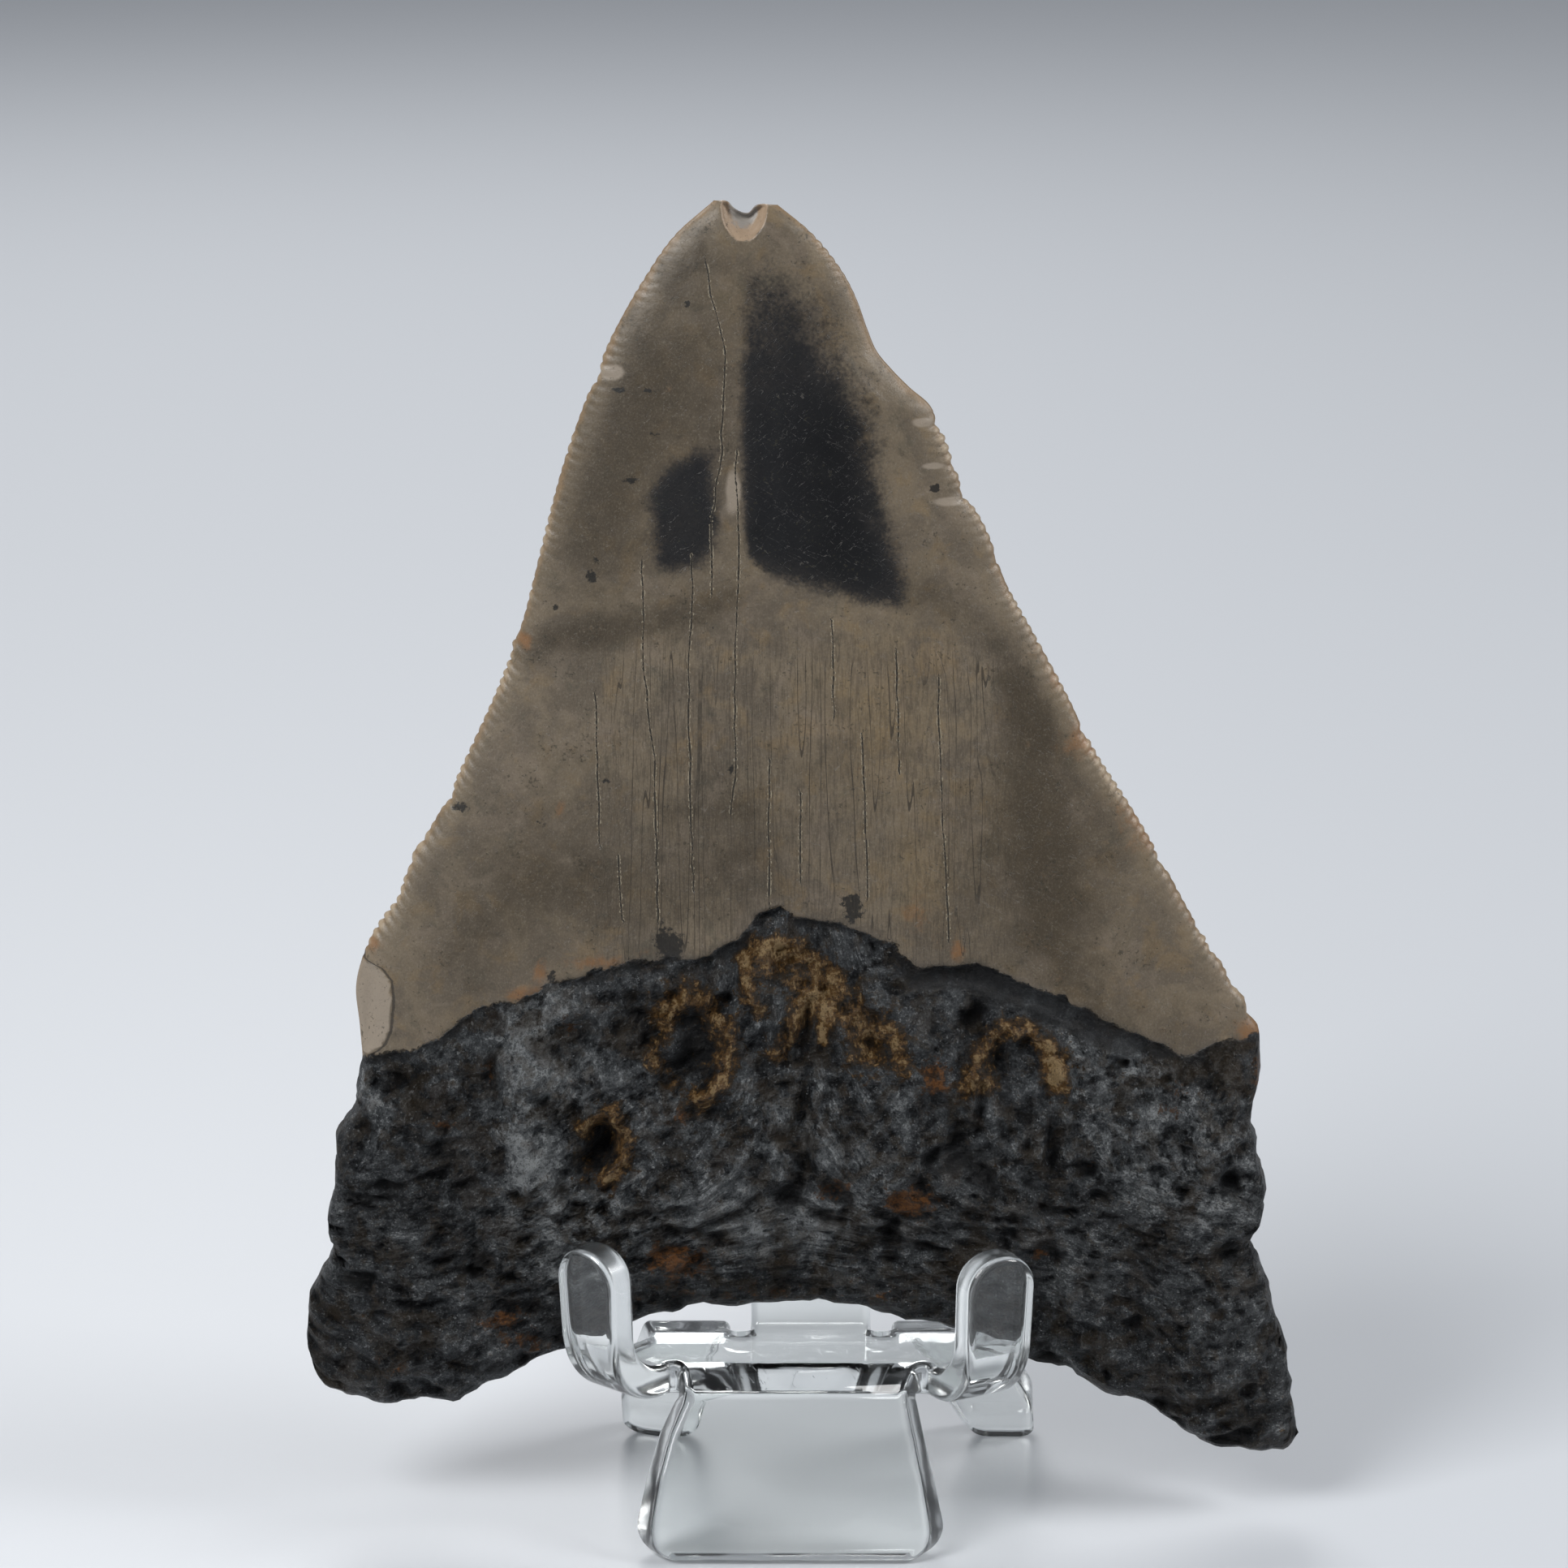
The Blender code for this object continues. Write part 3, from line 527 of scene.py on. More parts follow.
ROOT_RIDGES = [
    ([(-11.0, 31.6), (-9.6, 33.6), (-7.6, 33.3), (-5.7, 30.6), (-5.2, 28.2), (-6.2, 25.3), (-8.1, 23.8)],
     1.0, 1.1),
    ([(-3.7, 37.6), (-3.4, 34.4), (-2.4, 32.4)], 0.6, 0.8),
    ([(2.0, 33.5), (0.9, 30.8), (-0.6, 28.4)], 0.8, 0.8),
    ([(17.2, 25.0), (18.4, 28.8), (20.4, 30.6), (23.2, 30.2)], 0.8, 0.9),
    ([(-21.0, 32.4), (-24.6, 29.6), (-25.2, 24.0), (-24.4, 18.0), (-21.6, 14.0)], 1.6, 0.9),
    ([(-18.8, 20.6), (-18.3, 22.6), (-16.4, 22.8), (-15.0, 21.2), (-15.0, 18.6), (-16.6, 17.2)], 0.6, 0.7),
    ([(24.0, 23.5), (24.3, 16.0)], 0.5, 0.5), ([(26.6, 22.5), (26.8, 15.5)], 0.5, 0.5),
    ([(27.2, 8.0), (27.6, 2.0), (28.6, -3.0)], 0.9, 0.7),
]
print(len(ROOT_KNOBS), "knobs and pits,", len(ROOT_RIDGES), "ridges")

# %% Shelves and grain
SHELF_PITCH = 1.3
SHELF_HEIGHT = 0.42


def shelves(x, t, above_base):
    """Thin shelves along the arch: the height over the base, made wavy by noise, is cut into strips,
    and within each strip the surface rises with the square of the share, then drops back."""
    level = above_base + 0.9 * broken_cloud(x, t, (7.0, 3.0), 31, 4)
    share = np.mod(level / SHELF_PITCH, 1.0)
    where = np.exp(-(((above_base - 7.5) / 4.0) ** 2)) * np.exp(-(((x - 2.0) / 13.0) ** 2))
    return SHELF_HEIGHT * where * (share**2 - 0.33)


def fibre_places(x, t, above_base):
    """Two numbers that follow the root's fibres. The second stays the same along a fibre: near the arch
    it is the height over the base, and higher up the fibres fan out from the middle. The first grows
    along the fibre."""
    low = ease((19.0 - t) / 16.0)
    lengthwise = x - t * np.clip(x / 8.0, -1, 1)
    return lengthwise, low * above_base + (1 - low) * (0.8 * np.sqrt(x**2 + 30.0) + 0.5 * t)


def root_grain(x, t, lengthwise, across):
    """Broken mineral: every place is first shifted by noise, then broad lumps, two nets of sharp crests
    (one less twice the size of a noise, which peaks where the noise is zero) and small pits are added
    up. The lumps and the larger crests are longer along the fibres than across them."""
    lengthwise = lengthwise + 1.3 * cloud(x, t, 3.7, 46)
    across = across + 1.0 * cloud(t, x, 3.1, 47)
    lumps = 0.50 * broken_cloud(lengthwise, across, (5.5, 4.0), 41, 4)
    crests = 0.44 * (1 - 2 * np.abs(broken_cloud(lengthwise, across, (3.8, 2.6), 43, 3)))
    small_crests = 0.26 * (1 - 2 * np.abs(broken_cloud(x + 0.5 * across, t, 1.6, 45, 2)))
    pits = -0.55 * ease((-0.40 - cloud(t, x, 2.1, 44)) / 0.25)
    return lumps + crests + small_crests + pits


fibre_along, fibre_across = fibre_places(plane_x, plane_t, from_base)
root_detail = (
    bells(ROOT_KNOBS, plane_x, plane_t) + ridges(ROOT_RIDGES, plane_x, plane_t)
    + shelves(plane_x, plane_t, from_base) + root_grain(plane_x, plane_t, fibre_along, fibre_across)
)
print("root relief from", np.round(root_detail.min(), 1), "to", np.round(root_detail.max(), 1), "mm")

# %% [markdown]
# ## The step at the enamel's edge
#
# The enamel is a separate coat, half a millimetre thick, and its lower edge is a step down to the root.
# Under the step runs the smooth dark neck, with a groove along the edge and, on the right, a slim band.
# The step is a smooth change of height rather than a cut, so the net of points stays whole.

# %% Step and neck
ENAMEL_THICKNESS = 0.5
BAND_HEIGHT_FRONT = 0.22


def broad_neck(x):
    """1 where the neck is broad, from x = 13 to 31 mm, easing to 0 at 9 and at 37 mm."""
    return ease((x - 9.0) / 4.0) * ease((37.0 - x) / 6.0)


def enamel_step(line_distance, x):
    """The drop from crown to root, an eased step, then the neck's groove as a bell shape of the
    distance below the line, the band as a second one further down, and a last groove below it."""
    step = -ENAMEL_THICKNESS * (1 - ease((line_distance + 0.45) / 0.8))
    right = broad_neck(x)
    groove = (-0.12 - 0.25 * right) * np.exp(-(((line_distance + 0.8) / 0.5) ** 2))
    band = BAND_HEIGHT_FRONT * right * np.exp(-(((line_distance + 2.0) / 0.7) ** 2))
    below_band = -BAND_HEIGHT_FRONT * right * np.exp(-(((line_distance + 3.2) / 0.5) ** 2))
    return step + groove + band + below_band


enamel = above_line(ENAMEL_LINE, plane_x, plane_t, 51)
on_crown = ease((enamel + 0.3) / 0.5)
neck_right = broad_neck(plane_x)
neck_width = 0.1 + 2.2 * neck_right
neck_width += (0.7 - 0.2 * neck_right) * broken_cloud(plane_x, plane_t, 2.6, 53, 3)
root_start = ease((-enamel - neck_width) / 1.0)
print("the neck is up to", round(float(neck_width.max()), 1), "mm wide")

# %% [markdown]
# ## Worn corner and broken tip
#
# The crown is smooth, but two spots of it are not whole. Its lower left corner has been ground off,
# which left an oval face with a crease along it, and the tip has lost a shell-shaped flake. A boolean
# could cut both. Here they are taken off the height of the surface instead, which keeps the net of
# points even and gives each spot a mask for its colour. Part of that colour is painted light: the oval
# is painted paler as the sheen of its polished face, and its crease and the middle of the scoop are
# painted darker as shade.

# %% Oval and scoop
OVAL_CREASE = [   # height t and the crease's x there
    (27.2, -40.0), (27.8, -38.5), (28.6, -37.6), (30.0, -37.0), (32.8, -36.7), (34.7, -36.9), (35.8, -37.8),
    (36.6, -39.6),
]
FAR_AWAY = 9.0            # stands for "no crease or crack near here"


def worn_oval(x, t):
    """The ground-off corner: inside a curve the surface falls towards the edge, but by no more than
    three quarters of the front's height, so that a crease runs along the curve. Gives the drop, a
    mask, and the distance to the right of the crease."""
    crease = np.interp(t, *np.transpose(OVAL_CREASE))
    inside = np.clip(crease - x, 0, 4) * ease((t - 27.4) / 1.0) * ease((37.4 - t) / 1.0)
    within = ease((t - 27.2) / 0.8) * ease((37.6 - t) / 0.8)
    drop = -np.minimum(0.4 * inside, 0.75 * front_form)
    return drop, ease(inside / 0.4), np.where(within > 0.1, x - crease, FAR_AWAY)


def tip_break(x, t):
    """A scoop like the inside of a shell: the square root of one less the squared distance in an
    ellipse, with small ripples around its middle."""
    across = np.sqrt(((x + 3.7) / 2.1) ** 2 + ((t - 107.4) / 3.3) ** 2)
    scoop = np.sqrt(np.clip(1 - across**2, 0, 1))
    steps = 0.07 * np.sin(16 * across + 2 * cloud(x, t, 1.2, 54)) * ease((1 - across) / 0.2)
    return -1.3 * scoop + steps, np.clip(1.05 - across, -0.2, 1.05)


oval_drop, oval_mask, oval_edge = worn_oval(plane_x, plane_t)
tip_drop, tip_mask = tip_break(plane_x, plane_t)
RIPPLE, RIPPLE_REACH = 0.20, 1.1
knob_ripple = (
    RIPPLE * (left_knob[:, None] - KNOB_MIDDLE) * np.exp(-((from_left / RIPPLE_REACH) ** 2))
    + RIPPLE * (right_knob[:, None] - KNOB_MIDDLE) * np.exp(-((from_right / RIPPLE_REACH) ** 2))
)
crown_waves = 0.03 * broken_cloud(plane_x, plane_t, (2.0, 30.0), 52, 2)
crown_detail = oval_drop + tip_drop + knob_ripple + crown_waves
print("the worn corner drops by up to", round(float(-oval_drop.min()), 1), "mm")

# %% Front surface
rim_fade = ease(from_rim / 1.1)
front = (
    front_form
    + section * (bells(BROAD_ROOT, plane_x, plane_t) + enamel_step(enamel, plane_x))
    + rim_fade * root_start * root_detail
    + ease(from_rim / 0.35) * on_crown * crown_detail
)
print("front stands up to", round(float(front.max()), 2), "mm off the plane")

# %% [markdown]
# ## The back
#
# The back isn't on show, but it is finished as well. Its enamel ends higher up, in an arch, and below it
# lies a smooth dark band that parts crown from root. The root swells in the middle and has one small
# hole there.

# %% Back surface
BACK_KNOBS = [
    (1.0, 29.0, 1.3, 1.6, -1.6), (-14.0, 20.0, 5.0, 6.0, -1.0), (17.0, 19.0, 5.0, 6.0, 1.0),
    (-30.0, 10.0, 8.0, 8.0, -1.0), (32.0, 6.0, 8.0, 9.0, 1.0), (-22.0, 30.0, 6.0, 3.0, 0.6),
    (22.0, 30.0, 6.0, 3.0, -0.6), (-6.0, 16.0, 1.4, 2.0, -0.7), (9.0, 12.0, 1.6, 1.4, -0.6),
]
BAND_HEIGHT = 8.5
BACK_SHIFT = 300.0        # reads the noise elsewhere, so that the back isn't the front's mirror image
back_enamel = above_line(BACK_ENAMEL_LINE, plane_x, plane_t, 61)
back_band = ease((back_enamel + BAND_HEIGHT) / 1.0)
back_root = 1 - ease((back_enamel + BAND_HEIGHT + 0.6) / 1.6)
back_grain = root_grain(plane_x + BACK_SHIFT, plane_t, fibre_along + BACK_SHIFT, fibre_across)
back_detail = bells(BACK_KNOBS, plane_x, plane_t) + back_grain
back_step = -0.35 * (1 - ease((back_enamel + 0.2) / 0.4)) - 0.25 * (1 - back_band)
back = (
    back_form + section * back_step
    + rim_fade * back_root * back_detail
    + rim_fade * (1 - back_root) * 0.05 * broken_cloud(plane_x, plane_t, (3.0, 20.0), 62, 2)
)
print("back stands up to", round(float(back.max()), 2), "mm off the plane")

# %% [markdown]
# ## One closed skin
#
# The front's net and the back's coarser net share the rim's points, so the skin has no seam to leak
# through. Each cell of the back that touches the rim also takes the rim point in the middle of its
# outer edge. A second function stores numbers on the points. Materials can read them later, so stains
# follow the same formulas as the shape.

# %% Points of the tooth
def stand_up(flat, depth):
    """A place in the tooth's plane and a depth behind it, as a point over the table. The plane leans
    back, so y gains t times the sine of the lean and z gains t times its cosine."""
    x, t = flat[..., 0], flat[..., 1]
    y = TOOTH_FOOT_Y + t * np.sin(LEAN) + depth * np.cos(LEAN)
    z = LEDGE_TOP + t * np.cos(LEAN) - depth * np.sin(LEAN)
    return (np.stack([x, y, z], axis=-1) + FRAME_SHIFT) * MM


inner = (slice(2, -2, 2), slice(2, -2, 2))
tooth_points = np.vstack([
    stand_up(place, -front).reshape(-1, 3), stand_up(place[inner], back[inner]).reshape(-1, 3)
])
print(len(tooth_points), "points")

# %% Faces of the tooth
front_number = np.arange(place[..., 0].size).reshape(ROWS + 1, COLUMNS + 1)
back_number = front_number[::2, ::2].copy()
back_number[1:-1, 1:-1] = front_number.size + np.arange(back_number[1:-1, 1:-1].size).reshape(
    back_number[1:-1, 1:-1].shape
)
front_cells = np.stack(
    [front_number[:-1, :-1], front_number[:-1, 1:], front_number[1:, 1:], front_number[1:, :-1]], axis=-1
).reshape(-1, 4)
no_point = np.full((ROWS // 2, COLUMNS // 2), -1)
above, right, below, left = no_point.copy(), no_point.copy(), no_point.copy(), no_point.copy()
below[0], above[-1] = front_number[0, 1::2], front_number[-1, 1::2]
left[:, 0], right[:, -1] = front_number[1::2, 0], front_number[1::2, -1]
back_cells = np.stack([
    back_number[1:, :-1], above, back_number[1:, 1:], right,
    back_number[:-1, 1:], below, back_number[:-1, :-1], left,
], axis=-1).reshape(-1, 8)
tooth_faces = [tuple(cell) for cell in front_cells.tolist()]
tooth_faces += [tuple(number for number in cell if number >= 0) for cell in back_cells.tolist()]
print(len(tooth_faces), "faces")

# %% Mesh and number helpers
def add_mesh(name, points, faces, paint):
    """A smooth-shaded object at the origin, from points in metres and tuples of point numbers."""
    mesh = bpy.data.meshes.new(name)
    mesh.from_pydata(points.tolist(), [], faces)
    mesh.materials.append(paint)
    mesh.shade_smooth()
    made = bpy.data.objects.new(name, mesh)
    bpy.context.collection.objects.link(made)
    return made


def both_sides(on_front, on_back):
    """The front's values and then the back's, in the order of the tooth's points. A single number
    counts for the whole side."""
    spread = [np.broadcast_to(values, plane_x.shape) for values in (on_front, on_back)]
    return np.concatenate([spread[0].ravel(), spread[1][inner].ravel()]).astype(np.float32)


def store(name, on_front, on_back):
    """Keeps one number for each point of the tooth."""
    kept = tooth.data.attributes.new(name, "FLOAT", "POINT")
    kept.data.foreach_set("value", both_sides(on_front, on_back))


print("an attribute of the tooth holds", both_sides(plane_x, plane_x).size, "numbers")

# %% Mesh of the tooth
fossil_tree, fossil_shader, fossil = new_material("fossil_enamel_and_root")
tooth = add_mesh("megalodon_tooth", tooth_points, tooth_faces, fossil)
for name, first, second in (("tooth_mm", plane_x, plane_t), ("fibre_mm", fibre_along, fibre_across)):
    sides = (both_sides(first, first), both_sides(second, second), both_sides(-front, back))
    vectors = np.column_stack(sides)
    tooth.data.attributes.new(name, "FLOAT_VECTOR", "POINT").data.foreach_set("vector", vectors.ravel())
lowest, highest = tooth_points.min(axis=0) / MM, tooth_points.max(axis=0) / MM
print("tooth from", np.round(lowest, 1), "to", np.round(highest, 1), "mm")

# %% [markdown]
# ## Stains
#
# Minerals coloured this tooth: two charcoal clouds on the crown, ochre and rust around the root's
# knobs, amber along the right edge. A cloud's outline is a closed path, and the number that is stored
# is the distance inside it over the width of its soft border. The shader adds noise to that number
# before it turns it into colour, and so breaks up the border.

# %% Charcoal clouds
BIG_CLOUD = [
    (-4.0, 100.6), (-1.4, 102.4), (3.2, 101.2), (6.6, 95.2), (8.8, 89.8), (9.6, 85.4), (9.9, 81.3),
    (11.0, 76.8), (12.0, 72.4), (11.2, 69.8), (7.1, 70.1), (4.1, 71.1), (0.3, 71.8), (-2.0, 73.4),
    (-3.5, 74.8), (-4.0, 78.3), (-4.3, 84.4), (-4.3, 92.6),
]
SMALL_CLOUD = [
    (-5.8, 85.2), (-8.7, 85.1), (-11.6, 83.2), (-12.9, 80.6), (-12.9, 77.0), (-12.4, 73.4), (-10.3, 72.6),
    (-6.5, 74.2), (-5.2, 78.3), (-6.0, 81.5),
]


def inside_distance(x, t, corners):
    """Distance to a closed path, above zero inside it. A point is inside if a line from it to the right
    crosses the path an odd number of times."""
    closed = corners + corners[:1]
    crossings = np.zeros(x.shape, int)
    for (ax, at), (bx, bt) in zip(closed[:-1], closed[1:]):
        spans = (at > t) != (bt > t)
        where = ax + (t - at) * (bx - ax) / (bt - at if bt != at else 1e-9)
        crossings += spans & (x < where)
    return path_distance(x, t, closed) * np.where(crossings % 2 == 1, 1.0, -1.0)


BIG_BORDER = [(69, 1.3), (75, 2.2), (88, 3.8), (96, 6.5), (101, 9.0)]   # height t, width of the soft border
CRISP_LEFT = [(-3.0, 0.3), (1.5, 1.0)]                                  # x, share of that width
SMALL_BORDER = 1.6
border_width = np.interp(plane_t, *np.transpose(BIG_BORDER)) * np.interp(plane_x, *np.transpose(CRISP_LEFT))
big_cloud = np.clip(inside_distance(plane_x, plane_t, BIG_CLOUD) / border_width, -3, 3)
small_cloud = np.clip(inside_distance(plane_x, plane_t, SMALL_CLOUD) / SMALL_BORDER, -3, 1.1)
charcoal = np.maximum(big_cloud, small_cloud)
DARKEST = [(4.2, 84.0, 4.5, 7.5, 1.0), (5.5, 75.0, 4.0, 4.0, 0.7), (-2.6, 77.2, 1.4, 1.4, 0.7)]
BACK_CLOUDS = [(-6, 88, 5, 10, 2.0), (8, 66, 6, 7, 1.6)]
store("charcoal", charcoal, bells(BACK_CLOUDS, plane_x, plane_t) - 1.2)
store("charcoal_core", bells(DARKEST, plane_x, plane_t), 0.2)
print("charcoal covers", round(float((charcoal > 0).mean() * 100), 1), "% of the front's points")

# %% Shade, yellow, amber and pale marks of the crown
SHADE = [
    ([(-24.5, 66.3), (-14.1, 68.1), (-5.0, 71.0)], 1.8, 0.55),
    ([(11.7, 72.0), (16.2, 70.0), (20.0, 66.1), (23.9, 58.5)], 2.2, 0.5),
    ([(22, 62), (24, 50), (26, 38)], 3.0, 0.35), ([(-12.5, 94), (-15, 87)], 3.0, 0.15),
    ([(-3.0, 51.5), (-10.5, 51.0)], 1.2, 0.28), ([(-30, 38), (-22, 44), (-12, 43), (-4, 46)], 4.0, 0.35),
    ([(28, 33), (38, 30)], 3.0, 0.25), ([(-8.0, 103.0), (-10.5, 101.0)], 2.0, 0.3),
]
YELLOW = [
    (8.5, 60.0, 7.0, 9.0, 0.8), (13.0, 45.0, 3.0, 5.0, 1.0), (-5.0, 99.0, 2.2, 3.0, 0.6),
    (20.0, 50.0, 4.0, 8.0, 0.4), (-27.0, 62.0, 4.0, 8.0, 0.3), (-24.0, 45.0, 5.0, 4.0, 0.35),
]
AMBER = [
    (-22.9, 35.6, 0.7, 1.7, 0.9), (-24.8, 33.8, 1.6, 0.8, 0.9), (-17.6, 36.9, 3.0, 0.7, 0.8),
    (-13.0, 38.0, 2.0, 0.6, 0.5), (16.3, 38.0, 0.6, 1.2, 1.0), (43.8, 29.8, 2.0, 1.2, 0.8),
    (44.4, 27.6, 0.9, 2.6, 0.7), (-24.2, 66.9, 0.7, 0.8, 1.2), (-38.6, 38.2, 0.8, 0.9, 0.9),
    (12.4, 41.5, 1.6, 3.0, 0.5), (25.5, 63.4, 0.8, 1.2, 0.8), (-20.9, 51.2, 0.5, 0.9, 0.7),
]
BROAD_SHADE = [
    (-12, 92, 9, 14, 0.55), (-18, 78, 6, 9, 0.48), (-25, 47, 10, 9, 0.22), (24, 46, 9, 12, 0.5),
    (12, 95, 5, 8, 0.3), (-4, 52, 14, 8, 0.20), (2.0, 64.0, 16.0, 5.0, -0.3), (13.0, 62.0, 6.0, 8.0, -0.35),
    (-28, 60, 4, 6, -0.2),
]
PALE = [
    (-4.7, 80.9, 0.8, 2.5, 1.3), (-5.9, 78.6, 0.6, 1.6, 0.5), (-16.0, 91.9, 1.2, 0.8, 1.5),
    (12.9, 87.2, 1.2, 0.5, 1.3), (13.9, 83.2, 1.4, 0.35, 1.3), (15.3, 79.9, 1.6, 0.5, 1.4),
]
SPECKS = [
    (-17.9, 73.1, 0.6, 0.8, 1.0), (-17.5, 74.6, 0.35, 0.6, 0.8), (-14.3, 81.9, 0.8, 0.35, 1.0),
    (-30.2, 51.2, 0.9, 0.5, 1.0), (-5.0, 55.2, 0.5, 0.7, 0.9), (-16.9, 54.0, 0.9, 0.4, 0.7),
    (-9.0, 98.2, 0.4, 0.5, 0.8), (-12.8, 90.2, 0.8, 0.25, 0.9), (-15.6, 90.3, 0.9, 0.25, 1.0),
    (-11.9, 86.2, 0.5, 0.3, 0.8), (14.0, 81.1, 0.5, 0.4, 1.2), (-19.8, 77.4, 0.4, 0.4, 0.6),
    (-21.3, 70.0, 0.4, 0.4, 0.8), (20.9, 59.6, 0.5, 0.5, 0.6), (-11.4, 38.9, 1.0, 1.8, 1.0),
    (-10.0, 38.4, 0.8, 1.6, 0.8), (6.4, 42.2, 1.0, 1.6, 1.0), (-21.8, 35.6, 0.5, 0.9, 0.9),
    (-22.6, 49.8, 0.5, 0.5, 0.6), (11.5, 99.2, 0.4, 0.4, 0.5), (-6.7, 68.3, 0.4, 0.4, 0.7),
]
print("stains listed:", len(SHADE) + len(BROAD_SHADE) + len(YELLOW) + len(AMBER) + len(PALE) + len(SPECKS))

# %% Store the crown's marks, with its painted knob highlights and oval sheen
def back_stain(size, seed):
    """Broad noise for the back, whose stains aren't drawn one by one."""
    return broken_cloud(plane_x + 200, plane_t, size, seed)


right_amber = 1.25 * np.exp(-from_right / 1.5) * ease((plane_t - 30) / 4) * ease((78 - plane_t) / 20)
right_amber *= 0.5 + 0.8 * cloud(plane_t, 0 * plane_t, 3.0, 71)
front_shade = ridges(SHADE, plane_x, plane_t) + bells(BROAD_SHADE, plane_x, plane_t)
# Painted highlight: the serration knobs are painted paler, as glints of light on their round tops.
painted_knob_highlight = left_knob[:, None] * np.exp(-from_left) + right_knob[:, None] * np.exp(-from_right)
from_side = np.minimum(from_left, from_right)
for name, on_front, on_back in (
    ("shade", front_shade, 0.4 * back_stain(18.0, 72)),
    ("yellow", bells(YELLOW, plane_x, plane_t), 0.5 * back_stain(14.0, 73)),
    ("amber", bells(AMBER, plane_x, plane_t) + right_amber, np.exp(-from_rim / 0.8) * 0.4),
    # pale spots, and the worn oval painted paler as painted sheen on its polished face
    ("pale_marks_and_sheen", bells(PALE, plane_x, plane_t) + oval_mask, 0.0),
    # the scoop at the tip: its pinkish-tan edge and grey layers, and painted shade in its deep middle
    ("tip", tip_mask, -1.0),
    ("crease_side", oval_edge, FAR_AWAY),
    ("specks", bells(SPECKS, plane_x, plane_t), 0.0),
    ("painted_knob_highlight", painted_knob_highlight, painted_knob_highlight),
    # distance to the side edges; the shader paints the crown paler near them, partly as light through thin
    # enamel
    ("rim", from_side, from_side),
):
    store(name, on_front, on_back)
print(len(tooth.data.attributes), "attributes on the tooth so far")

# %% Ochre, rust and grey of the root
OCHRE_PATHS = [
    ([(-11.0, 32.1), (-9.6, 34.0), (-7.6, 33.4), (-5.7, 30.6), (-5.2, 28.2), (-6.0, 25.6), (-8.3, 23.6)],
     1.5, 0.95),
    ([(-3.7, 37.4), (-3.4, 34.2), (-2.4, 32.6)], 1.0, 1.0),
    ([(2.0, 33.6), (0.9, 31.0), (-0.6, 28.4)], 1.2, 0.9),
    ([(17.2, 25.0), (18.4, 28.6), (20.4, 30.8), (23.2, 30.4)], 1.3, 0.9),
    ([(3.9, 32.8), (3.6, 29.4)], 0.4, 1.3),
    ([(-18.6, 21.4), (-16.2, 22.9), (-15.0, 21.0), (-15.0, 18.2), (-16.4, 16.2)], 1.1, 1.0),
    ([(-2.0, 38.6), (1.0, 38.0), (4.6, 36.2)], 1.3, 0.7), ([(10.5, 30.5), (11.4, 26.8)], 1.0, 0.7),
    ([(-12.6, 28.0), (-10.4, 25.4)], 0.9, 0.6), ([(24.8, 29.0), (25.8, 25.6)], 1.1, 0.8),
]
OCHRE_SPOTS = [
    (-0.6, 37.2, 2.8, 3.0, 0.7), (6.0, 32.4, 4.0, 2.6, 0.7), (8.0, 28.6, 2.6, 3.2, 0.75),
    (25.4, 26.4, 1.8, 2.4, 0.9),
    (3.6, 34.6, 1.6, 1.4, 0.8), (-12.0, 30.0, 1.4, 3.0, 0.5), (19.6, 25.6, 1.4, 1.4, 0.8),
    (-18.6, 17.8, 1.6, 2.4, 0.5),
]
RUST_SPOTS = [
    (14.2, 26.0, 1.8, 2.8, 0.8), (11.8, 14.0, 3.0, 1.9, 1.0), (4.8, 15.2, 2.2, 1.6, 0.6),
    (-10.4, 8.2, 3.6, 2.0, 0.95),
    (-26.8, 2.5, 1.8, 0.9, 0.9), (-24.4, 0.2, 3.4, 1.6, 0.6), (-33.5, 13.5, 1.6, 2.0, 0.45),
    (-32.0, 21.0, 1.4, 1.6, 0.5),
    (-27.8, 26.6, 0.6, 1.3, 0.8), (-16.4, 15.8, 1.5, 1.0, 0.9), (-9.4, 22.6, 1.6, 1.2, 0.8),
    (24.0, 8.8, 1.0, 0.8, 0.7),
    (36.5, 23.8, 2.0, 2.4, 0.5), (29.0, 17.6, 0.6, 1.0, 0.7), (-20.0, 31.6, 1.4, 1.4, 0.6),
    (-8.0, 4.2, 10.0, 1.6, 0.35),
    (8.0, 4.6, 9.0, 1.4, 0.3), (-37.0, -2.0, 3.0, 2.0, 0.35), (44.8, 25.4, 0.8, 3.0, 0.8),
]
GREY_AREAS = [
    (-23.5, 26.0, 3.4, 8.0, 0.9), (-19.5, 26.5, 3.0, 4.0, 0.5), (-22.0, 13.0, 5.0, 6.0, 0.8),
    (2.0, 20.0, 12.0, 6.0, 0.6),
    (33.0, 20.0, 9.0, 7.0, 0.6), (30.0, 27.0, 8.0, 2.0, 0.5), (-1.0, 11.5, 14.0, 3.4, 1.1),
    (-38.0, 22.0, 3.0, 6.0, 0.3),
    (40.0, 14.0, 5.0, 6.0, 0.35), (-12.0, 24.5, 4.0, 4.0, 0.4),
]
print("root stains listed:", len(OCHRE_PATHS) + len(OCHRE_SPOTS) + len(RUST_SPOTS) + len(GREY_AREAS))

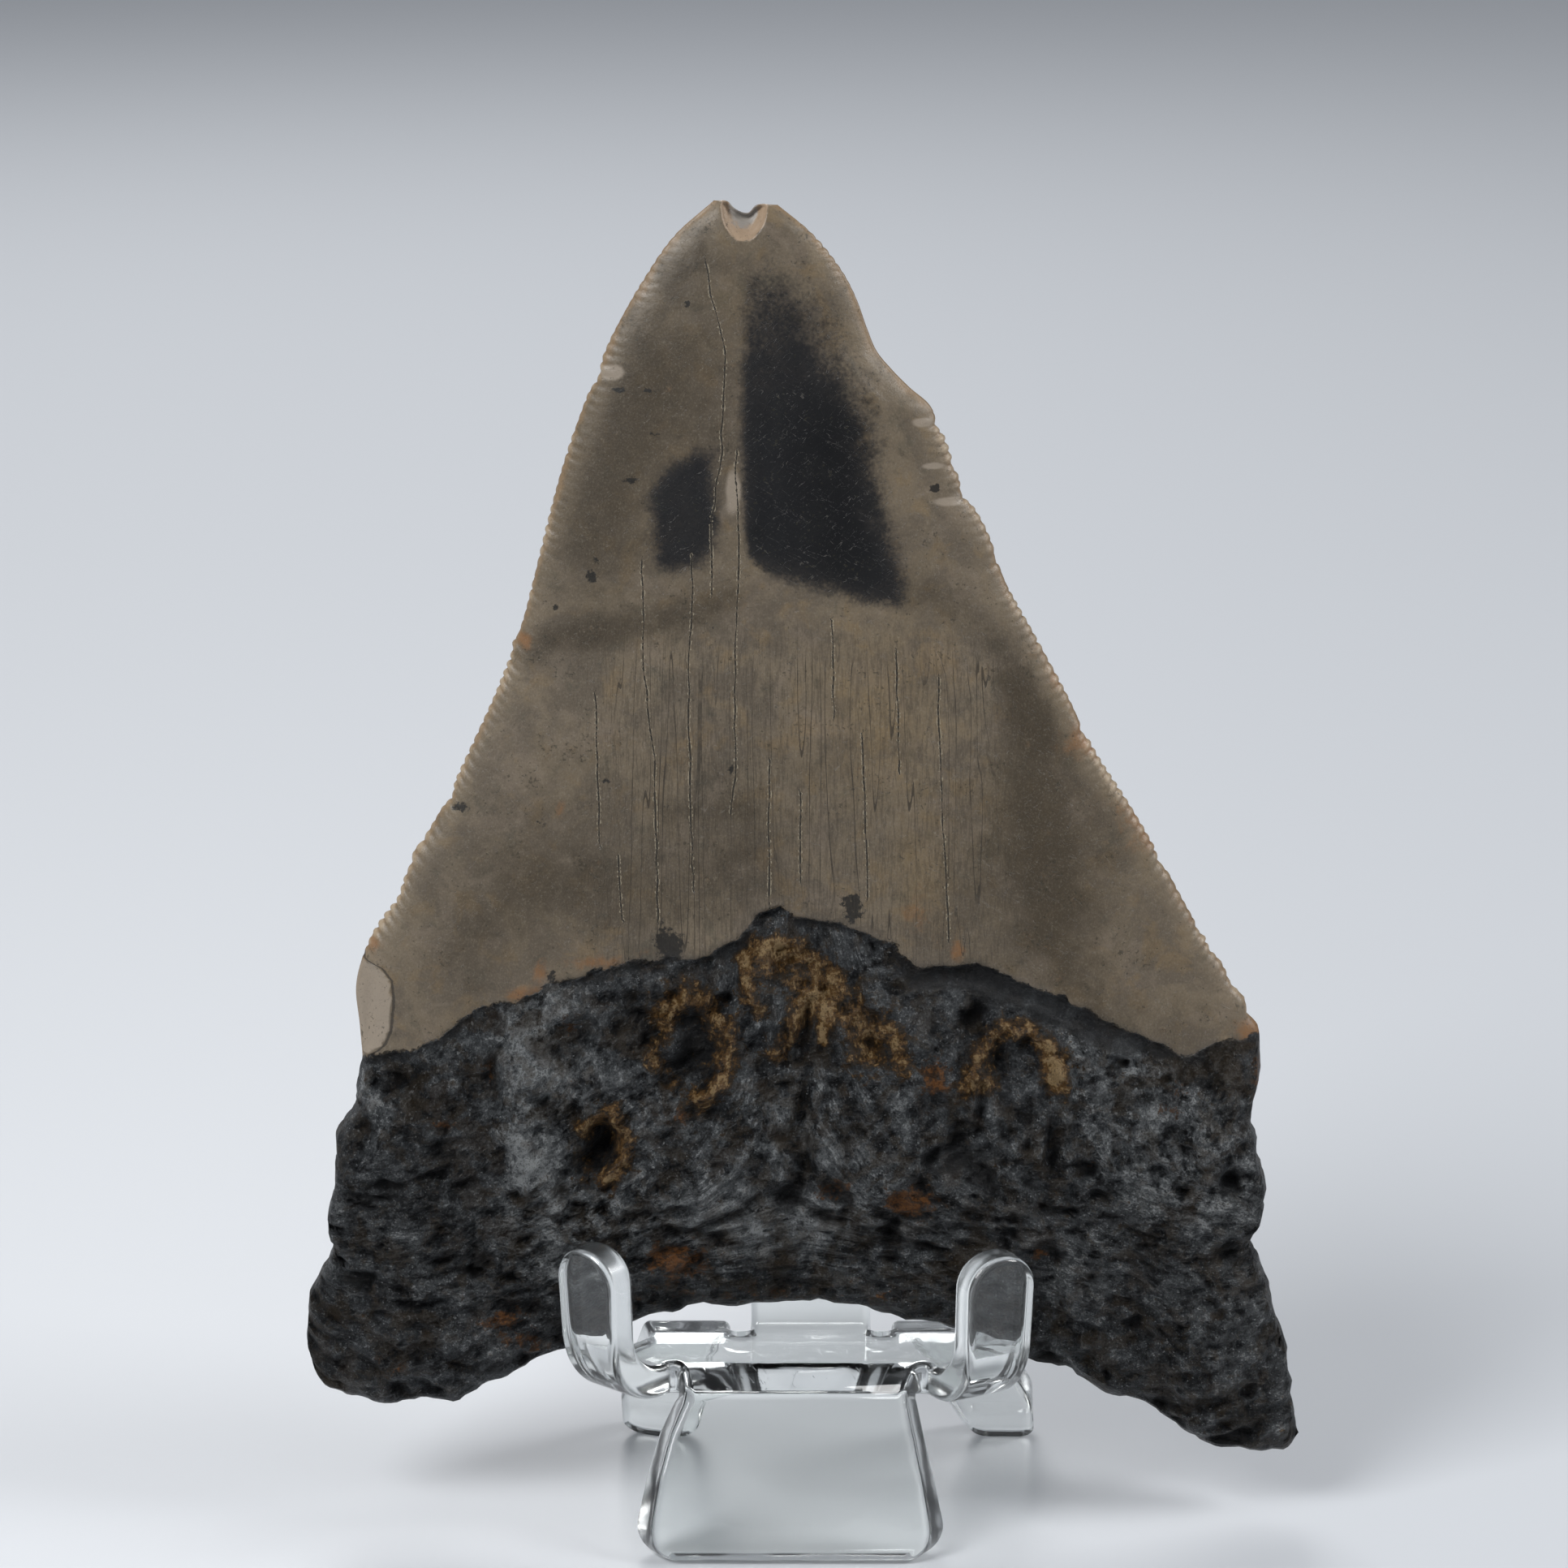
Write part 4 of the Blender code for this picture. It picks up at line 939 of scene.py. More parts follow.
# %% Store the root's marks, and its relief for the painted light on it
ochre = ridges(OCHRE_PATHS, plane_x, plane_t) + bells(OCHRE_SPOTS, plane_x, plane_t)
front_neck = ease((-enamel + 0.2) / 0.4) * (1 - root_start)
back_neck = back_band * ease(-back_enamel / 0.4)
for name, on_front, on_back in (
    ("ochre", ochre, 0.7 * back_stain(12.0, 81) - 0.1),
    ("rust", bells(RUST_SPOTS, plane_x, plane_t), 0.8 * back_stain(9.0, 82) - 0.2),
    ("grey", bells(GREY_AREAS, plane_x, plane_t), 0.4),
    # the root's relief height, which the shader uses to paint raised parts lighter and hollows black as
    # painted light
    ("relief_for_wear_and_painted_light", root_detail, back_detail),
    ("enamel", enamel, np.where(from_rim < 0.5, enamel, back_enamel)),
    ("neck", front_neck, back_neck),
    ("calm", front_neck * neck_right, back_neck),
):
    store(name, on_front, on_back)
print(len(tooth.data.attributes), "attributes on the tooth so far")

# %% [markdown]
# ## Cracks
#
# Drying and pressure split the enamel along its length. A crack is thinner than the net's cells, so it
# can't be a groove in the mesh. What is stored instead is the distance to the nearest crack, below zero
# on its left and above zero on its right. Between two points that number runs evenly through zero, so
# the shader finds the exact line. A second number without a sign hides the false lines halfway between
# two cracks, where the first one jumps.

# %% Distance to the nearest crack
CRACKS = [
    [(-7.2, 102.2), (-6.8, 99.0), (-6.1, 96.4), (-5.5, 93.8), (-5.7, 88.1), (-5.8, 84.6), (-6.1, 82.6),
     (-6.7, 78.2), (-6.7, 71.5)],
    [(-4.4, 84.6), (-4.5, 82.3), (-4.2, 78.8), (-4.2, 75.3), (-4.4, 70.9), (-4.5, 64.6), (-4.6, 54.7),
     (-4.9, 50.8)],
    [(-8.6, 75.0), (-8.5, 72.5), (-8.8, 64.6), (-8.8, 58.5), (-8.7, 50.8), (-8.5, 43.9)],
    [(-13.2, 74.5), (-13.1, 69.5), (-13.0, 64.6), (-12.1, 56.2), (-11.9, 46.2), (-11.8, 40.8)],
    [(-1.3, 56.0), (-1.4, 50.8), (-1.4, 42.3)], [(7.3, 58.5), (7.6, 50.8), (7.8, 43.1)],
    [(14.3, 63.9), (14.8, 50.8), (15.4, 39.2)], [(4.5, 69.0), (4.6, 60.0)], [(10.4, 66.0), (10.7, 55.0)],
    [(1.5, 53.0), (1.6, 44.5)], [(-17.6, 62.0), (-17.2, 48.0)], [(-15.4, 47.0), (-15.2, 41.0)],
]


CRACK_WAVER = 0.10


def nearest_crack(x, t):
    """For each crack: x less the crack's x at that height, with the height beyond its ends added as in
    a right triangle. The crack with the least such distance counts. A little noise makes it waver."""
    best = np.full(x.shape, 1e9)
    side = np.full(x.shape, FAR_AWAY)
    for path in CRACKS:
        path_x, path_t = np.transpose(path[::-1])
        offset = x - np.interp(t, path_t, path_x) - CRACK_WAVER * cloud(0 * x, t, 1.6, len(path))
        beyond = np.maximum(np.maximum(t - path_t[-1], path_t[0] - t), 0)
        far = np.hypot(offset, beyond)
        side = np.where(far < best, np.sign(offset) * far, side)
        best = np.minimum(best, far)
    return side, best


crack_side, crack_far = nearest_crack(plane_x, plane_t)
hair_zone = ease((plane_x + 22) / 8) * ease((26 - plane_x) / 8) * ease((72 - plane_t) / 8)
store("crack_side", crack_side, FAR_AWAY)
store("crack_far", crack_far, FAR_AWAY)
store("hair_zone", hair_zone, 0.5)
print(len(CRACKS), "cracks")

# %% [markdown]
# ## Material of the tooth
#
# Fossil enamel is a hard, dense mineral: it keeps a satin gloss and fine lengthwise lines. The root is
# open and dull. It is painted nearly black in its hollows, which is painted shade, and grey on its raised
# parts, where fingers and sand have rubbed it and where highlights are painted. One material holds both,
# because they are one piece, and the stored distance to the enamel's edge decides which shows. Its
# patterns read the tooth's own x, t and depth in millimetres, or places along and across the root's
# fibres, so that the scale of a noise is a real size.

# %% What the material reads
reads = {
    name: add_node(fossil_tree, "ShaderNodeAttribute", {"attribute_name": name}).outputs["Fac"]
    for name in (
        "charcoal", "charcoal_core", "shade", "yellow", "amber", "pale_marks_and_sheen", "specks", "painted_knob_highlight", "rim",
        "crease_side", "tip", "ochre", "rust", "grey", "relief_for_wear_and_painted_light", "enamel", "neck", "calm", "crack_side",
        "crack_far", "hair_zone",
    )
}
places = {
    name: add_node(fossil_tree, "ShaderNodeAttribute", {"attribute_name": name}).outputs["Vector"]
    for name in ("tooth_mm", "fibre_mm")
}
print(len(reads), "stored numbers and", len(places), "places to read")

# %% Noises, each with a real size
# What is read, the size across, along and in depth in mm, the turn in degrees, detail, roughness and
# distortion. Real dust and scratches are finer, and are drawn as coarse as they need to be to show.
FOSSIL_NOISES = {
    "cloudy": ("tooth_mm", (8.0, 8.0, 8.0), 0, 4, 0.60, 0.6),
    "blotchy": ("tooth_mm", (2.4, 2.4, 2.4), 0, 6, 0.60, 0.3),
    "streaky": ("tooth_mm", (0.22, 2.0, 0.22), 0, 3, 0.55, 0.0),
    "lengthwise": ("tooth_mm", (1.3, 70.0, 1.3), 0, 1, 0.40, 0.0),
    "scratchy": ("tooth_mm", (0.9, 6.0, 0.9), 62, 2, 0.50, 0.4),
    "crossing": ("tooth_mm", (0.8, 5.0, 0.8), -50, 2, 0.50, 0.4),
    "mottled": ("tooth_mm", (3.2, 3.2, 3.2), 45, 3, 0.60, 0.5),
    "patchy": ("tooth_mm", (4.5, 4.5, 4.5), 20, 5, 0.60, 0.8),
    "grain": ("tooth_mm", (1.3, 1.3, 1.3), 0, 9, 0.74, 0.1),
    "fibrous": ("fibre_mm", (2.2, 1.3, 1.3), 0, 8, 0.74, 0.1),
    "combed": ("fibre_mm", (0.8, 0.45, 0.45), 0, 5, 0.76, 0.0),
    "fleck": ("tooth_mm", (0.32, 0.32, 0.32), 0, 2, 0.50, 0.0),
    "dust": ("tooth_mm", (0.17, 0.22, 0.17), 0, 1, 0.50, 0.0),
}
for name, (place_name, size, turn, detail, roughness, distortion) in FOSSIL_NOISES.items():
    laid = add_node(
        fossil_tree, "ShaderNodeMapping",
        {"vector_type": "TEXTURE", "Rotation": (0, 0, np.radians(turn)), "Scale": size},
        {"Vector": places[place_name]},
    )
    reads[name] = add_node(
        fossil_tree, "ShaderNodeTexNoise",
        {"Scale": 1.0, "Detail": detail, "Roughness": roughness, "Distortion": distortion},
        {"Vector": laid},
    ).outputs["Fac"]
for name in ("lengthwise", "scratchy", "crossing"):   # thin lines run where these noises pass their middle
    middle = add_node(fossil_tree, "ShaderNodeMath", {"operation": "SUBTRACT", 1: 0.5}, {0: reads[name]})
    reads[name] = add_node(fossil_tree, "ShaderNodeMath", {"operation": "ABSOLUTE"}, {0: middle}).outputs[0]
print(len(reads), "numbers to mix masks from")

# %% Mask recipe
def weighted_sum(weights):
    """Each reading times its weight, added up by a chain of nodes that multiply and add."""
    total = None
    for name, weight in weights.items():
        links = {0: reads[name]} if total is None else {0: reads[name], 2: total}
        settings = {"operation": "MULTIPLY_ADD", 1: weight, 2: 0.0}
        total = add_node(fossil_tree, "ShaderNodeMath", settings, links)
    return total


def mask_of(weights, low, high, out_low=0.0, out_high=1.0):
    """A weighted sum of what the material reads, then a smooth step from out_low to out_high as the sum
    runs from low to high."""
    span = {"From Min": low, "From Max": high, "To Min": out_low, "To Max": out_high}
    return add_node(
        fossil_tree, "ShaderNodeMapRange", {"interpolation_type": "SMOOTHSTEP", **span},
        {"Value": weighted_sum(weights)},
    ).outputs["Result"]


is_crown = mask_of({"enamel": 1.0, "fleck": 0.5, "grain": 0.8}, 0.55, 0.75)
print(len(fossil_tree.nodes), "nodes so far")

# %% [markdown]
# ## Lines in the surface
#
# Cracks, hairlines and scratches are thin lines. A listed crack is where its stored distance is
# close to zero. The many fine ones need no list: they run where a stretched noise passes its middle
# value, which gives long, slightly wavering lines that end by themselves.

# %% Cracks, scratches and the crease
reads["crack_width"] = mask_of({"blotchy": 0.3, "fleck": 0.7}, 0.38, 0.62, 0.02, 0.13)
reads["scratch"] = mask_of({"scratchy": 1.0, "fleck": -0.05}, -0.021, -0.026)
reads["cross_scratch"] = mask_of({"crossing": 1.0, "fleck": -0.05}, -0.021, -0.026)
for name, signed in (("crack_distance", "crack_side"), ("crease_distance", "crease_side")):
    reads[name] = add_node(
        fossil_tree, "ShaderNodeMath", {"operation": "ABSOLUTE"}, {0: reads[signed]}
    ).outputs[0]
# The crease's mask: in colour it paints shade along the crease, and in the bump it is a groove.
reads["crease"] = mask_of({"crease_distance": 1.0, "fleck": 0.2}, 0.32, 0.14)
reads["crack_share"] = add_node(
    fossil_tree, "ShaderNodeMath", {"operation": "DIVIDE"},
    {0: reads["crack_distance"], 1: reads["crack_width"]},
).outputs[0]
true_crack = mask_of({"crack_far": 1.0}, 0.55, 0.35)
for name, reading, low, high, where in (
    ("crack", "crack_share", 1.0, 0.5, true_crack),
    ("crack_lip", "crack_share", 2.6, 1.4, true_crack),
    ("hairline", "lengthwise", 0.013, 0.005, reads["hair_zone"]),
    ("striae", "streaky", 0.45, 0.62, reads["hair_zone"]),
):
    reads[name] = add_node(
        fossil_tree, "ShaderNodeMath", {"operation": "MULTIPLY"},
        {0: mask_of({reading: 1.0}, low, high), 1: where},
    ).outputs[0]
print("cracks are up to a quarter of a millimetre wide")

# %% [markdown]
# ## Colours in layers
#
# The colours of a fossil are minerals that soaked in one after another, and the material is made in
# the same way. Each layer is one colour and a mask, and is mixed over the layers before it. A few
# layers are painted light, in part or whole: highlights on the serration knobs, paler cutting edges for
# light through the thin enamel, sheen on the worn oval, painted shade in its crease, in the tip's scoop
# and in the root's hollows, and highlights on the root's raised parts and on its ochre. A table keeps
# this readable: to change one stain is to change one line. A narrow step in a mask gives crisp grains
# and a wide one gives smoky edges.

# %% Colours of the crown, layer over layer
CROWN_UNDER = "#5f5548"
CROWN_LAYERS = [   # what the mask adds up, where it starts and is full, how strong it is, its colour
    ({"cloudy": 1.0, "blotchy": 0.5}, 0.66, 0.84, 1.0, "#6f6352"),
    ({"patchy": 1.0}, 0.50, 0.68, 0.50, "#7c6f60"),
    ({"mottled": 1.0, "blotchy": 0.4}, 0.72, 0.90, 0.40, "#7d6849"),
    ({"mottled": -1.0, "grain": -0.5}, -0.66, -0.54, 0.35, "#47453a"),
    ({"yellow": 1.0, "blotchy": 1.0}, 0.55, 1.6, 0.42, "#806c4b"),
    ({"shade": 1.0, "blotchy": 1.2}, 0.50, 1.4, 0.90, "#3d3427"),
    # paler, pinkish-tan band along the cutting edges: its own tint, and painted light standing in for light
    # shining through the thin enamel
    ({"rim": 1.0, "blotchy": 2.0}, 4.2, 1.5, 0.36, "#82735d"),
    ({"rim": 1.0, "blotchy": 2.0}, 1.9, 1.1, 0.52, "#967b5c"),
    ({"striae": 1.0}, 0.0, 1.0, 0.34, "#3c352b"),
    ({"grain": 1.0}, 0.55, 0.78, 0.20, "#8b806d"),
    ({"grain": -1.0}, -0.45, -0.30, 0.35, "#39332a"),
    ({"dust": 1.0, "grain": 0.3}, 0.60, 1.00, 0.07, "#c2b79f"),
    ({"dust": -1.0, "grain": -0.3}, -0.66, -0.40, 0.12, "#2e2a22"),
    ({"amber": 1.0, "blotchy": 1.0, "grain": 1.6}, 1.50, 2.30, 0.60, "#85592e"),
    ({"charcoal": 0.8, "blotchy": 0.7, "grain": 0.6, "fleck": 0.6}, 0.80, 1.70, 0.92, "#1f1e1f"),
    ({"charcoal": 0.6, "blotchy": 1.0, "grain": 0.8, "fleck": 0.6}, 1.20, 2.20, 0.90, "#0b0c0f"),
    ({"charcoal_core": 0.5, "blotchy": 0.6}, 0.40, 0.85, 0.90, "#040405"),
    ({"dust": 1.0, "grain": 0.4}, 0.88, 1.00, 0.12, "#8a8780"),
    ({"scratch": 1.0, "patchy": 1.0}, 1.40, 1.60, 0.22, "#87827a"),
    ({"cross_scratch": 1.0, "patchy": -1.0}, 0.40, 0.60, 0.22, "#87827a"),
    # pale spots, and painted sheen on the worn oval
    ({"pale_marks_and_sheen": 1.0, "blotchy": 0.8}, 0.8, 1.3, 0.8, "#95897a"),
    ({"tip": 1.0, "grain": 0.3}, 0.12, 0.20, 0.90, "#a38d76"),
    ({"tip": 1.0, "blotchy": 0.8}, 0.72, 0.86, 0.85, "#8d8a85"),
    # painted shade in the deepest middle of the broken tip's scoop
    ({"tip": 1.0, "blotchy": 1.2}, 1.15, 1.50, 0.85, "#33363b"),
    # painted highlight: glints on the serration knobs
    ({"painted_knob_highlight": 1.0, "fleck": 0.6}, 0.5, 1.1, 0.60, "#b5a48c"),
    ({"fleck": 1.0, "blotchy": 0.6, "patchy": 0.4}, 1.18, 1.26, 0.55, "#2b281c"),
    ({"specks": 1.0, "fleck": 0.8, "grain": 2.4}, 2.02, 2.28, 0.90, "#191816"),
    # painted shade: a dark line along the worn oval's crease
    ({"crease": 1.0}, 0.0, 1.0, 0.75, "#2b2722"),
    ({"hairline": 1.0, "cloudy": 0.9, "blotchy": 0.3}, 1.45, 1.65, 0.75, "#2b261f"),
    ({"crack_lip": 1.0, "fleck": 1.0}, 1.36, 1.65, 0.62, "#a0957f"),
    ({"crack": 1.0}, 0.0, 1.0, 0.90, "#120f0c"),
]
print(len(CROWN_LAYERS), "layers on the crown")

# %% Colours of the root
ROOT_UNDER = "#0e0f10"
ROOT_LAYERS = [
    ({"patchy": 0.7, "fibrous": 0.8, "grain": 0.7}, 0.98, 1.08, 1.0, "#2a2c2e"),
    # these three grey layers grow lighter on raised relief: grey crust and wear, and painted highlights on
    # the raised parts
    ({"patchy": 0.6, "fibrous": 0.7, "grain": 0.7, "grey": 0.15, "relief_for_wear_and_painted_light": 0.06},
     0.98, 1.08, 1.0, "#45484a"),
    ({"patchy": 0.4, "fibrous": 0.6, "combed": 0.5, "grain": 0.5, "grey": 0.20, "relief_for_wear_and_painted_light": 0.07},
     1.08, 1.18, 0.95, "#696c6d"),
    ({"patchy": 0.3, "combed": 0.8, "grain": 0.9, "grey": 0.15, "relief_for_wear_and_painted_light": 0.09},
     1.14, 1.23, 0.88, "#9c9f9f"),
    ({"fleck": 1.0, "grain": 0.7, "combed": 0.5}, 1.26, 1.34, 0.85, "#9a9c9d"),
    ({"dust": 1.0, "grain": 0.5}, 0.82, 0.96, 0.34, "#86898a"),
    ({"blotchy": 1.0, "cloudy": -0.5, "grain": 0.3}, 0.42, 0.52, 0.40, "#3d3020"),
    ({"patchy": -1.0, "grain": 1.0}, 0.02, 0.10, 0.60, "#33291a"),
    # painted shade: nearly black in the root's hollows, where the relief is low
    ({"relief_for_wear_and_painted_light": -1.0, "grain": -0.8}, -0.25, 0.6, 0.85, "#0a0a0b"),
    ({"rust": 1.0, "grain": 3.0}, 1.95, 2.12, 0.88, "#452c12"),
    ({"rust": 1.0, "grain": 3.0, "combed": 1.4, "fleck": 0.6}, 3.18, 3.40, 0.8, "#7c4d1f"),
    ({"ochre": 1.0, "grain": 3.0}, 1.85, 2.05, 0.92, "#33240e"),
    ({"ochre": 1.0, "grain": 3.4, "combed": 1.6}, 3.15, 3.36, 0.92, "#6b4c24"),
    # palest ochre: tan crust, and a painted highlight on it
    ({"ochre": 0.8, "grain": 3.8, "combed": 1.8, "fleck": 0.8}, 3.98, 4.30, 0.9, "#a58a60"),
    ({"dust": -1.0, "grain": -0.3}, -0.62, -0.50, 0.42, "#0c0c0d"),
    ({"neck": 1.0, "grain": 2.4}, 1.60, 2.30, 0.85, "#0d0e10"),
]
print(len(ROOT_LAYERS), "layers on the root")

# %% Lay the colours on
COLOUR_A, COLOUR_B, COLOUR_OUT = 6, 7, 2      # a colour mix node's sockets
finished = []
for under, layers in ((ROOT_UNDER, ROOT_LAYERS), (CROWN_UNDER, CROWN_LAYERS)):
    settings, links = {COLOUR_A: colour(under)}, {}
    for weights, low, high, strength, paint in layers:
        mask = mask_of(weights, low, high, 0.0, strength)
        layer = add_node(
            fossil_tree, "ShaderNodeMix", {"data_type": "RGBA", **settings, COLOUR_B: colour(paint)},
            {**links, "Factor": mask},
        )
        settings, links = {}, {COLOUR_A: layer.outputs[COLOUR_OUT]}
    finished.append(layer.outputs[COLOUR_OUT])
painted = add_node(
    fossil_tree, "ShaderNodeMix", {"data_type": "RGBA"},
    {"Factor": is_crown, COLOUR_A: finished[0], COLOUR_B: finished[1]},
)
fossil_tree.links.new(painted.outputs[COLOUR_OUT], fossil_shader.inputs["Base Color"])
print("colour comes from", len(CROWN_LAYERS) + len(ROOT_LAYERS), "layers")

# %% [markdown]
# ## Gloss and fine relief
#
# Enamel that wear has polished keeps a soft shine, and the root is duller where its grain is high. The
# grain that is finer than the net of points is a bump: the shader tilts the surface by the slope of a
# height, which is given in millimetres here. Every larger form is in the mesh itself.

# %% Gloss and fine relief, in mm
NUMBER_A, NUMBER_B = 2, 3     # a number mix node's sockets
FOSSIL_SPECULAR = 0.38
root_gloss = mask_of({"grain": 1.0, "patchy": 0.6}, 0.65, 0.95, 0.28, 0.60)
crown_gloss = mask_of({"blotchy": 1.0}, 0.3, 0.75, 0.30, 0.44)
ROOT_RELIEF = {"grain": 1.3, "fibrous": 0.7, "combed": 0.45, "fleck": 0.40, "dust": 0.12}
CROWN_RELIEF = {
    "striae": 0.02, "scratch": -0.012, "cross_scratch": -0.012, "hairline": -0.03, "crack": -0.09,
    "crease": -0.06, "blotchy": 0.06, "grain": 0.05,
}
calm_root = add_node(
    fossil_tree, "ShaderNodeMath", {"operation": "MULTIPLY"},
    {0: weighted_sum(ROOT_RELIEF), 1: mask_of({"calm": 1.0}, 0.0, 1.0, 1.0, 0.55)},
)
gloss, surface_height = [
    add_node(
        fossil_tree, "ShaderNodeMix", {"data_type": "FLOAT"},
        {"Factor": is_crown, NUMBER_A: root_part, NUMBER_B: crown_part},
    )
    for root_part, crown_part in ((root_gloss, crown_gloss), (calm_root, weighted_sum(CROWN_RELIEF)))
]
relief = add_node(
    fossil_tree, "ShaderNodeBump", {"Strength": 1.0, "Distance": MM}, {"Height": surface_height}
)
fossil_tree.links.new(gloss.outputs[0], fossil_shader.inputs["Roughness"])
fossil_tree.links.new(relief.outputs["Normal"], fossil_shader.inputs["Normal"])
fossil_shader.inputs["Specular IOR Level"].default_value = FOSSIL_SPECULAR
print(len(fossil_tree.nodes), "nodes in the fossil's material")

# %% [markdown]
# ## The easel, drawn flat
#
# The easel is one clear sheet, a little over three millimetres thick. Its outline was cut while it was
# flat, then two arms, a front leg, a back rest and two rear feet were bent out of it with heat. The
# same is done here: the flat outline is a list of corners with their radii, and a formula rolls each
# point of the sheet round its bend. So all widths are true cut widths, and a bend keeps its thickness.

# %% Sheet, and where the feet touch the table
SHEET = 3.3
ARM_WIDTH = 7.3
ARM_LENGTH = 19.9
LEFT_CORNER, RIGHT_CORNER = (-9.6, -3.35), (12.6, -3.35)
ARM_BEND_AT = 2.3
REST_LEFT_X, REST_RIGHT_X, REST_END_Y = -3.2, 8.3, 45.5
SLOT_WIDTH, SLOT_END_Y = 1.95, 3.9
EDGE_ROUND = 0.8
FOOT_LEVEL = 0.55     # how far a foot's end is ground level: 0 is square to the sheet, 1 is flat


def foot_run(inner, angle):
    """How far the sheet runs past a bend's start until its rounded end touches the table: the arc, then
    the height that is left over the sine of the angle. The rounded end's lowest point is looked for
    along its quarter circle."""
    arc_radius, half = inner + 0.5 * SHEET, 0.5 * SHEET
    tilt = np.linspace(0, np.pi / 2, 91)
    height = -(half - EDGE_ROUND * (1 - np.cos(tilt)))
    run = EDGE_ROUND * (np.sin(tilt) - 1) + FOOT_LEVEL * height / np.tan(angle)
    lift = np.max(run * np.sin(angle) - height * np.cos(angle))
    return arc_radius * angle + (LEDGE_TOP - half - arc_radius * (1 - np.cos(angle)) - lift) / np.sin(angle)


LEG_BEND_Y, LEG_BEND = -4.2, (0.7, np.radians(70.0))
REAR_BEND_Y, REAR_BEND = 5.2, (1.5, np.radians(50.0))
LEG_END_Y = LEG_BEND_Y - foot_run(*LEG_BEND)
REAR_END_Y = REAR_BEND_Y + foot_run(*REAR_BEND)
print("flat, the leg ends at y =", np.round(LEG_END_Y, 1), "and the rear feet at", np.round(REAR_END_Y, 1))

# %% Arms and cut outline
def arm_axes(corner, turn, side):
    """An arm's corner, the way it runs out, and the way across it towards the front leg."""
    out = np.array([side * np.sin(turn), -np.cos(turn)])
    return np.array(corner), out, np.array([-side * np.cos(turn), -np.sin(turn)])


LEFT_ARM = arm_axes(LEFT_CORNER, np.radians(41.0), -1)
RIGHT_ARM = arm_axes(RIGHT_CORNER, np.radians(28.0), 1)
(left_front, left_back), (right_front, right_back) = [
    (corner + out * ARM_LENGTH, corner + out * ARM_LENGTH - across * ARM_WIDTH)
    for corner, out, across in (LEFT_ARM, RIGHT_ARM)
]
arm_tip = 0.47 * ARM_WIDTH      # just under half a width, so that two rounded corners fit side by side
slot_end, rest_end = 0.49 * SLOT_WIDTH, 0.49 * (REST_RIGHT_X - REST_LEFT_X)
CUT_OUTLINE = [   # x, y and corner radius, anticlockwise from above
    (-14.6, LEG_END_Y, 2.8), (15.7, LEG_END_Y, 2.8), (15.2, -18.0, 6.0), (14.4, -14.0, 8.0),
    (13.4, -10.0, 4.0), (12.6, -6.4, 2.0), (*RIGHT_CORNER, 0.5), (*right_front, arm_tip),
    (*right_back, arm_tip), (16.9, 2.6, 1.6), (21.2, 9.0, 6.0), (24.4, 18.0, 6.0),
    (24.8, REAR_END_Y, 1.4), (18.8, REAR_END_Y, 2.2), (15.9, 18.0, 6.0),
    (REST_RIGHT_X + SLOT_WIDTH, 6.5, 3.0), (REST_RIGHT_X + SLOT_WIDTH, SLOT_END_Y, slot_end),
    (REST_RIGHT_X, SLOT_END_Y, slot_end), (REST_RIGHT_X, REST_END_Y, rest_end),
    (REST_LEFT_X, REST_END_Y, rest_end), (REST_LEFT_X, SLOT_END_Y, slot_end),
    (REST_LEFT_X - SLOT_WIDTH, SLOT_END_Y, slot_end), (REST_LEFT_X - SLOT_WIDTH, 7.0, 3.0),
    (-7.9, 18.0, 6.0), (-9.2, REAR_END_Y, 3.4), (-16.0, REAR_END_Y, 2.6), (-16.0, 18.0, 6.0),
    (-12.8, 2.6, 1.6), (*left_back, arm_tip), (*left_front, arm_tip), (*LEFT_CORNER, 0.5),
    (-10.2, -6.4, 1.0), (-12.0, -10.0, 3.0), (-13.2, -14.0, 5.0), (-14.1, -18.0, 5.0),
]
print(len(CUT_OUTLINE), "corners to cut")

# %% Rounded corners of the cut line
NEARLY_STRAIGHT = 0.04        # radians, half the turn below which a corner stays a single point
LONGEST_STEP, FINE_STEP = 0.8, 0.13


def round_corners(corners, steps=16):
    """Each corner becomes an arc: its middle lies on the half-way line, at the radius over the sine of
    half the angle, and its ends at the radius over the tangent."""
    points = []
    for index, (x, y, radius) in enumerate(corners):
        here = np.array([x, y])
        back = np.array(corners[index - 1][:2]) - here
        ahead = np.array(corners[(index + 1) % len(corners)][:2]) - here
        back, ahead = back / np.linalg.norm(back), ahead / np.linalg.norm(ahead)
        half = 0.5 * np.arccos(np.clip(back @ ahead, -1, 1))
        if np.pi / 2 - half < NEARLY_STRAIGHT:
            points.append(here[None])
            continue
        centre = here + (back + ahead) / np.linalg.norm(back + ahead) * radius / np.sin(half)
        start = here + back * radius / np.tan(half) - centre
        end = here + ahead * radius / np.tan(half) - centre
        sweep = np.arctan2(start[0] * end[1] - start[1] * end[0], start @ end)
        angle = np.linspace(0, sweep, max(3, int(np.ceil(steps * abs(sweep) / (np.pi / 2)))) + 1)
        points.append(centre + np.column_stack([
            np.cos(angle) * start[0] - np.sin(angle) * start[1],
            np.sin(angle) * start[0] + np.cos(angle) * start[1],
        ]))
    return np.vstack(points)


def fill_in(loop, longest):
    """The same closed line with extra points, so that no step is longer than the given length."""
    ahead = np.roll(loop, -1, axis=0)
    parts = np.maximum(1, np.ceil(np.linalg.norm(ahead - loop, axis=1) / longest).astype(int))
    return np.vstack([here + (there - here) * np.linspace(0, 1, n, endpoint=False)[:, None]
                      for here, there, n in zip(loop, ahead, parts)])


